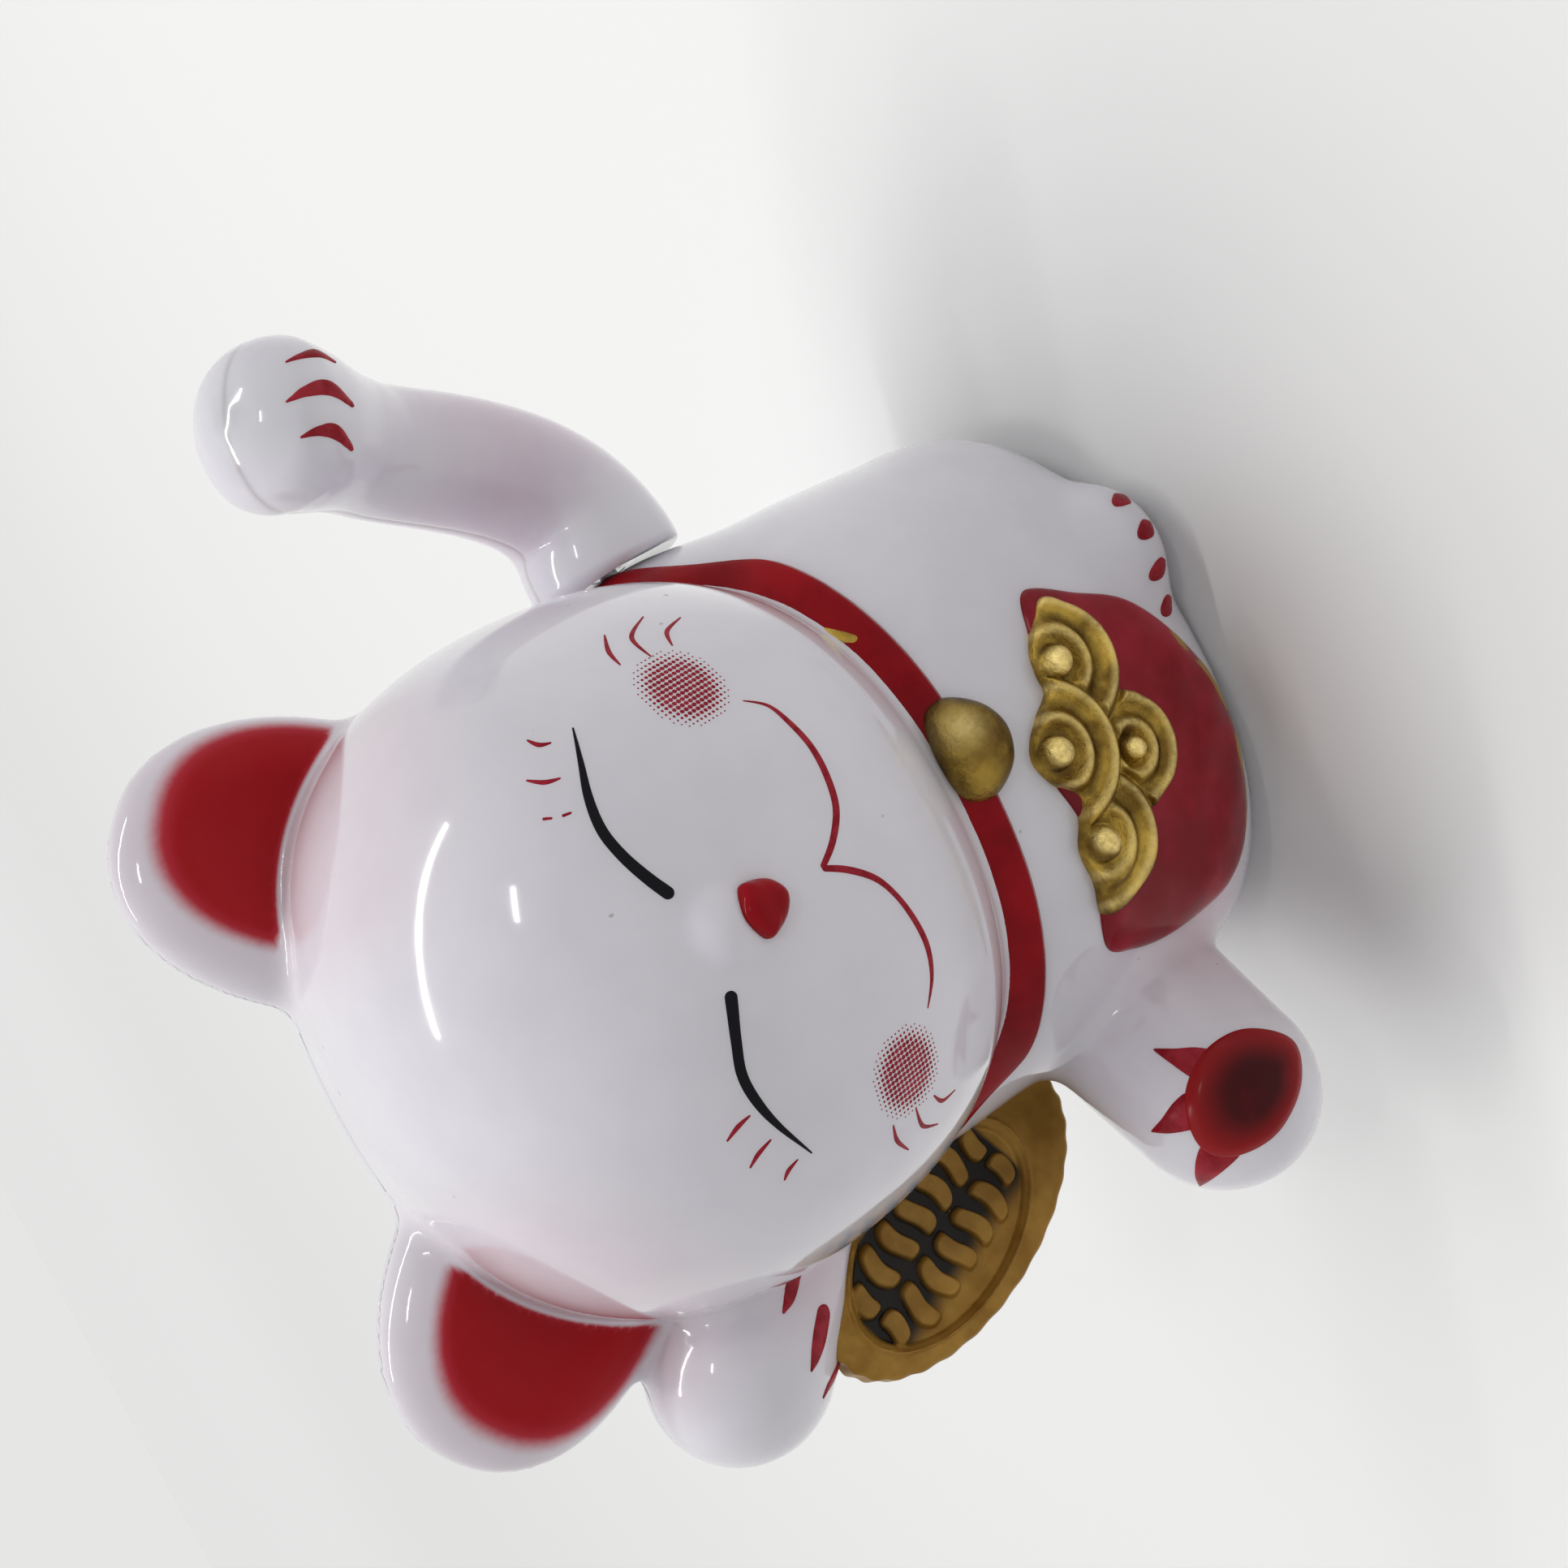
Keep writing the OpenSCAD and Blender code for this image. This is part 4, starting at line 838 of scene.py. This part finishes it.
rings, around = ((60, 260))
points, faces, share = patch(bib_edge, bib_middle, bib_height, cat_gap, rings, around)
low_edge = step_up(share, 0.74, 0.88) * step_up(points[:, 2], 10, 6.5)
bib_paint = Finish("bib_paint", (0.26, 0.003, 0.010), Roughness=0.16, Specular_IOR_Level=0.2)
pool = bib_paint.grain(110.0, 3.0)
red = bib_paint.blend(pool.over(0.35, 0.7), (0.21, 0.002, 0.008), (0.36, 0.010, 0.026))
caught = (bib_paint.value("trim") * (0.3 + 1.6 * bib_paint.grain(170.0, 2.0))).over(1.0, 1.15)
bib_paint.feed("Base Color", bib_paint.blend(caught, red, (0.46, 0.28, 0.05)))
bib_paint.feed("Metallic", caught * 0.6)
bib_paint.feed("Roughness", 0.13 + 0.25 * caught + 0.1 * pool)
bib_paint.bump(pool, 0.0003, 0.6)
add_piece("bib", points, faces, bib_paint, "figurine", {"trim": low_edge})

fans = (  # from the hindmost: middle x and z, radius, the radii of its ridges, knob
    (-5.2, 19.9, 5.9, (2.4, 4.9), 1.2), (5.1, 23, 7.6, (3.2, 6.2), 1.6),
    (-11.1, 27.2, 7.2, (3.1, 5.8), 1.6), (-2, 27.9, 7.3, (3.3, 6.2), 1.6))
fan_edge = [
    (-17.6, 28.4), (-16.6, 23.8), (-15.1, 20.4), (-12.6, 19.8), (-10.9, 19.2), (-9.4, 15.8), (-6.5, 13.9),
    (-3.4, 13.9), (-0.7, 15.9), (1.4, 16.1), (4.2, 15.3), (7.4, 15.9), (9.9, 18.2), (10.9, 20.1), (7.5, 23.6),
    (5.1, 24.6), (3.1, 24.9), (1.6, 27), (-0.2, 29), (-2, 29.7), (-4.3, 28.9), (-6.6, 27.2), (-8.8, 27.9),
    (-11.1, 29), (-14.4, 28.6)]

def fan_height(share, p):
    up = np.full(share.shape, 0.5)
    for x, z, radius, ridges, knob in fans:
        far = np.hypot(p[..., 0] - x, p[..., 2] - z)
        own = 0.9 + 1.1 * sum(np.exp(-((far - r) / 0.8) ** 2) for r in ridges)
        own = own + 1.9 * np.sqrt(np.maximum(1 - (far / knob) ** 2, 0))
        up = up + (own + 0.35 - up) * step_up(radius - far, 0.0, 0.5)
    return up * np.sqrt(np.maximum(1 - share ** 16, 0)) + 0.03

rings, around = ((90, 420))
points, faces, share = patch(fan_edge, (-3.8, 21.8), fan_height, cat_gap, rings, around)
# Painted shade down in the hollows between the fans' ridges and knobs, and a painted highlight on their
# raised tops.
hollow = step_up(fan_height(0 * share, points), 1.75, 1.05) * step_up(share, 0.99, 0.93)
painted_highlight = step_up(fan_height(0 * share, points), 1.8, 2.9)
painted_shade_and_highlights = {"hollow": 0.85 * hollow, "shine": painted_highlight}
add_piece("bib_fans", points, faces, gold_paint, "figurine", painted_shade_and_highlights)

# ---------------- claws and sole
# Claws and pads are brushed on in the same red, thinner than the bib, over shallow moulded marks.
# The sole is darker towards its middle.

claw_paint = Finish("claw_paint", (0.28, 0.005, 0.012), Roughness=0.3, Specular_IOR_Level=0.15)
thin = claw_paint.grain(420.0, 3.0).over(0.3, 0.7)
claw_paint.feed("Base Color", claw_paint.blend(thin, (0.23, 0.003, 0.010), (0.38, 0.022, 0.036)))
claw_paint.feed("Roughness", 0.18 + 0.2 * thin)
claw_paint.bump(thin, 0.00008, 0.5)

paw_claws = [
    ([(-43.9, -4.4, 67.6), (-43.5, -4.1, 66.4), (-43.4, -2.8, 64.2), (-42.6, -2.4, 62.6)],
     [0.2, 0.9, 1.3, 1.2]),
    ([(-40.6, -5.7, 68), (-39.9, -5.7, 66.6), (-38.9, -5.7, 64.9), (-37.2, -5.7, 62.6)],
     [0.2, 1.3, 1.9, 1.7]),
    ([(-34.9, -6, 67.4), (-34.5, -6.1, 65.9), (-34, -6.4, 64.4), (-32.7, -6.6, 62.6)],
     [0.2, 1.2, 1.8, 1.7])]
foot_claws = [
    ([(x - 0.4, y, z + 1.5), (x, y, z), (x + 0.5, y, z - 1.4)], [0.9, 1.9, 1.5])
    for x, y, z in ((4.4, -25.1, 4.8), (8, -26.6, 5), (12, -27.4, 4.6), (15.8, -26.2, 4.4))]
points, faces = joined([stroke(path, width, 0.12) for path, width in paw_claws + foot_claws])
add_piece("claws", points, faces, claw_paint, "figurine")

pad_edge = [
    (-42, -25.8, 30.3), (-42.1, -28, 27.3), (-40.9, -29.2, 24.6), (-38.8, -29.4, 21.6), (-36.3, -28.6, 19.9),
    (-33.5, -28.1, 22.3), (-32.4, -27.2, 24.9), (-32.8, -26, 28.1), (-35, -24.9, 30.9), (-38, -24.4, 31.9),
    (-40.5, -24.5, 31.7)]
sole_paint = Finish("sole_paint", (0.24, 0.003, 0.006), Roughness=0.2, Specular_IOR_Level=0.15)
deep = sole_paint.value("depth")
tone = sole_paint.blend(deep.over(0.35, 0.95), (0.055, 0.0006, 0.002), (0.30, 0.008, 0.010))
patchy = sole_paint.grain(260.0, 3.0).over(0.4, 0.8) * 0.2
sole_paint.feed("Base Color", sole_paint.blend(patchy, tone, (0.30, 0.012, 0.014)))
sole_paint.feed("Roughness", 0.14 + 0.12 * sole_paint.grain(300.0, 4.0))
sole_paint.bump(sole_paint.grain(200.0), 0.0002, 0.4)

def pad_height(share, p):
    ridge = 0.12 * np.exp(-((share - 0.8) / 0.12) ** 2)
    return 0.05 + 0.22 * np.sqrt(np.maximum(1 - share ** 8, 0)) + ridge

points, faces, share = patch(pad_edge, (-37.2, -28.9, 26.6), pad_height, cat_gap, 28, 110, flat=False)
add_piece("sole_pad", points, faces, sole_paint, "figurine", {"depth": share})
toe_marks = [
    ([(-40, -26.6, 29.8), (-41.6, -24.6, 31.2), (-43.2, -22.2, 31.3), (-44.7, -20.2, 30.9)],
     [3.8, 3.2, 1.7, 0.2]),
    ([(-36.5, -26, 30), (-36.8, -24.3, 31.7), (-37.3, -22.4, 32.5), (-37.6, -20.4, 33)],
     [3.8, 3, 1.6, 0.2]),
    ([(-34.5, -26.9, 28), (-33, -25.4, 28.8), (-32, -23.9, 29.3), (-30.9, -22.2, 29.7)],
     [3.6, 2.8, 1.5, 0.2])]
points, faces = joined([stroke(path, width, 0.12) for path, width in toe_marks])
add_piece("sole_toes", points, faces, claw_paint, "figurine")

points, faces = joined([arm_half(side)[:2] for side in (1, -1)])
arm_skin = BVHTree.FromPolygons(points.tolist(), faces)

def arm_gap(p):
    """Gap from points to the skin of the swinging arm."""
    found = [arm_skin.find_nearest(Vector(q)) for q in p.reshape(-1, 3)]
    gaps = [(Vector(q) - hit[0]).dot(hit[1]) for q, hit in zip(p.reshape(-1, 3), found)]
    return np.array(gaps).reshape(p.shape[:-1])

fist_claws = [
    ([(51.1, -15.7, 72.2), (51, -15.9, 70.4), (50.5, -15.5, 68.7), (49, -13.7, 67.2)],
     [0.15, 0.8, 1.3, 0.5]),
    ([(54.3, -16.6, 72.2), (54.4, -16.8, 70.1), (54.1, -16.4, 67.6), (52.4, -14.8, 65.4)],
     [0.15, 0.9, 1.4, 0.5]),
    ([(57.7, -16.3, 70.3), (57.7, -16.1, 68.4), (57.6, -15.4, 66.5), (56.8, -14.7, 65.1)],
     [0.15, 0.7, 1.1, 0.4])]
points, faces = joined([stroke(path, width, 0.1, arm_gap) for path, width in fist_claws])
add_piece("fist_claws", points, faces, claw_paint, "arm")

# ---------------- base, drive and cell
# The feet stand on a white moulded plate screwed up into the shells, with the battery door under it.
# Inside, a coil on a moulded frame kicks the magnet of the pendulum that swings the arm.

def plain_part(name, low, high, scale, depth, roughness):
    """A finish whose tone wanders between two colours, with a grain of its own scale in the surface."""
    f = Finish(name, low, Roughness=roughness)
    tone = f.grain(scale, 4.0)
    f.feed("Base Color", f.blend(tone.over(0.3, 0.7), low, high))
    f.feed("Roughness", roughness - 0.06 + 0.14 * tone)
    f.bump(f.grain(scale * 3, 3.0), depth, 0.6)
    return f

def turned(name, low, high, rings, roughness):
    """Metal with fine drawn or turned lines across its length."""
    f = Finish(name, low, Metallic=1.0, Roughness=roughness)
    lines = f.node("ShaderNodeTexWave", {"wave_type": "BANDS", "bands_direction": "DIAGONAL"}, {
        "Vector": f.place(), "Scale": rings, "Distortion": 3.0, "Detail": 2.0}, "Fac")
    f.feed("Base Color", f.blend(lines * 0.6, low, high))
    f.feed("Roughness", roughness + 0.12 * lines)
    f.bump(lines, 0.00002, 0.5)
    return f

moulded = (  # slot, name, darker and paler tone, scale of the grain, its depth in metres, roughness
    ("base_plastic", "base_plastic", (0.60, 0.59, 0.62), (0.64, 0.63, 0.655), 140.0, 0.00004, 0.3),
    ("frame_plastic", "frame_plastic", (0.56, 0.58, 0.55), (0.62, 0.64, 0.61), 120.0, 0.00004, 0.45),
    ("lever_plastic", "lever_plastic", (0.60, 0.60, 0.54), (0.66, 0.66, 0.60), 120.0, 0.00004, 0.45),
    ("magnet", "ferrite", (0.055, 0.055, 0.06), (0.10, 0.10, 0.105), 900.0, 0.00006, 0.5),
    ("board", "paper_laminate", (0.36, 0.23, 0.08), (0.46, 0.31, 0.12), 500.0, 0.00005, 0.5),
    ("black_plastic", "moulded_epoxy", (0.012, 0.012, 0.013), (0.03, 0.03, 0.032), 900.0, 0.00005, 0.55),
    ("can_blue", "shrink_sleeve", (0.03, 0.05, 0.20), (0.05, 0.08, 0.27), 200.0, 0.00003, 0.25),
    ("resistor_body", "lacquered_ceramic", (0.56, 0.44, 0.25), (0.66, 0.53, 0.33), 500.0, 0.00004, 0.4),
    ("cell_sleeve", "cell_sleeve", (0.09, 0.13, 0.16), (0.13, 0.18, 0.21), 160.0, 0.00003, 0.25),
    ("lead_red", "red_insulation", (0.42, 0.02, 0.02), (0.52, 0.035, 0.03), 300.0, 0.00003, 0.45),
    ("lead_black", "black_insulation", (0.02, 0.02, 0.022), (0.04, 0.04, 0.043), 300.0, 0.00003, 0.45))
drawn = (  # slot, name, darker and paler tone, scale of the lines, roughness
    ("steel", "drawn_steel", (0.50, 0.51, 0.53), (0.64, 0.65, 0.67), 700.0, 0.28),
    ("weight_steel", "cut_steel", (0.30, 0.30, 0.31), (0.44, 0.44, 0.45), 400.0, 0.42),
    ("nickel", "nickel_plate", (0.55, 0.54, 0.51), (0.68, 0.67, 0.64), 500.0, 0.22))
finishes = {"shell_white": shell_paint, "coin_gold": coin_paint}
finishes.update((slot, plain_part(*look)) for slot, *look in moulded)
finishes.update((slot, turned(*look)) for slot, *look in drawn)

copper = Finish("wound_copper", (0.50, 0.20, 0.07), Metallic=0.8, Roughness=0.3, Coat_Weight=0.5)
turns = copper.node("ShaderNodeTexWave", {"wave_type": "BANDS", "bands_direction": "Z"}, {
    "Vector": copper.place(), "Scale": 2600.0, "Distortion": 0.6, "Detail": 1.0}, "Fac")
copper.feed("Base Color", copper.blend(turns, (0.28, 0.09, 0.03), (0.58, 0.25, 0.09)))
copper.bump(turns, 0.00008, 0.8)
finishes["copper"] = copper

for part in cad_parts.values():
    for place in part.material_slots:
        place.material = finishes[place.material.name].material

# ---------------- table and light
# A pale matt table with nothing on it, lit by a wide soft sky, two small tubes and the room.
# It grows paler far off, so that it meets the room without a line.

table_finish = Finish("table_card", (0.83, 0.83, 0.815), Roughness=0.9)
away = {0: table_finish.place()}
away = table_finish.node("ShaderNodeVectorMath", {"operation": "LENGTH"}, away, "Value")
card = table_finish.blend(away.over(0.25, 1.6), (0.83, 0.83, 0.815), (0.955, 0.955, 0.94))
table_finish.feed("Base Color", card)
table_mesh = bpy.data.meshes.new("table_top")
table_corners = [(x, y, -0.0002) for x, y in ((-9, -9), (9, -9), (9, 9), (-9, 9))]
table_mesh.from_pydata(table_corners, [], [(0, 1, 2, 3)])
table_mesh.materials.append(table_finish.material)
table_top = bpy.data.objects.new("table_top", table_mesh)
scene.collection.objects.link(table_top)

def lamp(name, kind, at, aim, strength, **shape):
    light = bpy.data.lights.new(name, kind)
    light.energy = strength
    for key, value in shape.items():
        setattr(light, key, value)
    holder = bpy.data.objects.new(name, light)
    ahead = (Vector(aim) - Vector(at)).normalized()
    across = Vector((0.94, -0.34, 0)).cross(ahead).cross(ahead).normalized()
    holder.matrix_world = Matrix((-across, ahead.cross(across), -ahead)).transposed().to_4x4()
    holder.location = at
    holder.visible_glossy = kind != "SUN"
    scene.collection.objects.link(holder)

lamp("sky", "SUN", (-0.1, 0.42, 0.9), (0, 0, 0), 1.65, angle=math.radians(60))
tubes = (  # name, place, strength, length, thickness
    ("long_tube", (0.30, 0.03, 0.68), 1.5, 0.7, 0.024),
    ("short_tube", (0.31, -0.47, 0.68), 0.3, 0.14, 0.022))
for name, at, strength, long, thick in tubes:
    lamp(name, "AREA", at, (0, 0, 0.08), strength, shape="RECTANGLE", size=long, size_y=thick)

world = bpy.data.worlds.new("room")
world.use_nodes = True
room = world.node_tree
lit = room.nodes["Background"]
lit.inputs["Color"].default_value = (0.93, 0.93, 0.96, 1)
lit.inputs["Strength"].default_value = 0.36
seen = new_node(room, "ShaderNodeBackground", {}, {"Color": (0.79, 0.79, 0.775, 1)})
ray = new_node(room, "ShaderNodeLightPath", {}, {}).outputs
rays = {0: ray["Is Camera Ray"], 1: ray["Is Glossy Ray"]}
either = new_node(room, "ShaderNodeMath", {"operation": "MAXIMUM"}, rays)
ways = {0: either.outputs[0], 1: lit.outputs[0], 2: seen.outputs[0]}
mix = new_node(room, "ShaderNodeMixShader", {}, ways)
room.links.new(mix.outputs[0], room.nodes["World Output"].inputs["Surface"])
scene.world = world
scene.view_settings.view_transform = "Standard"
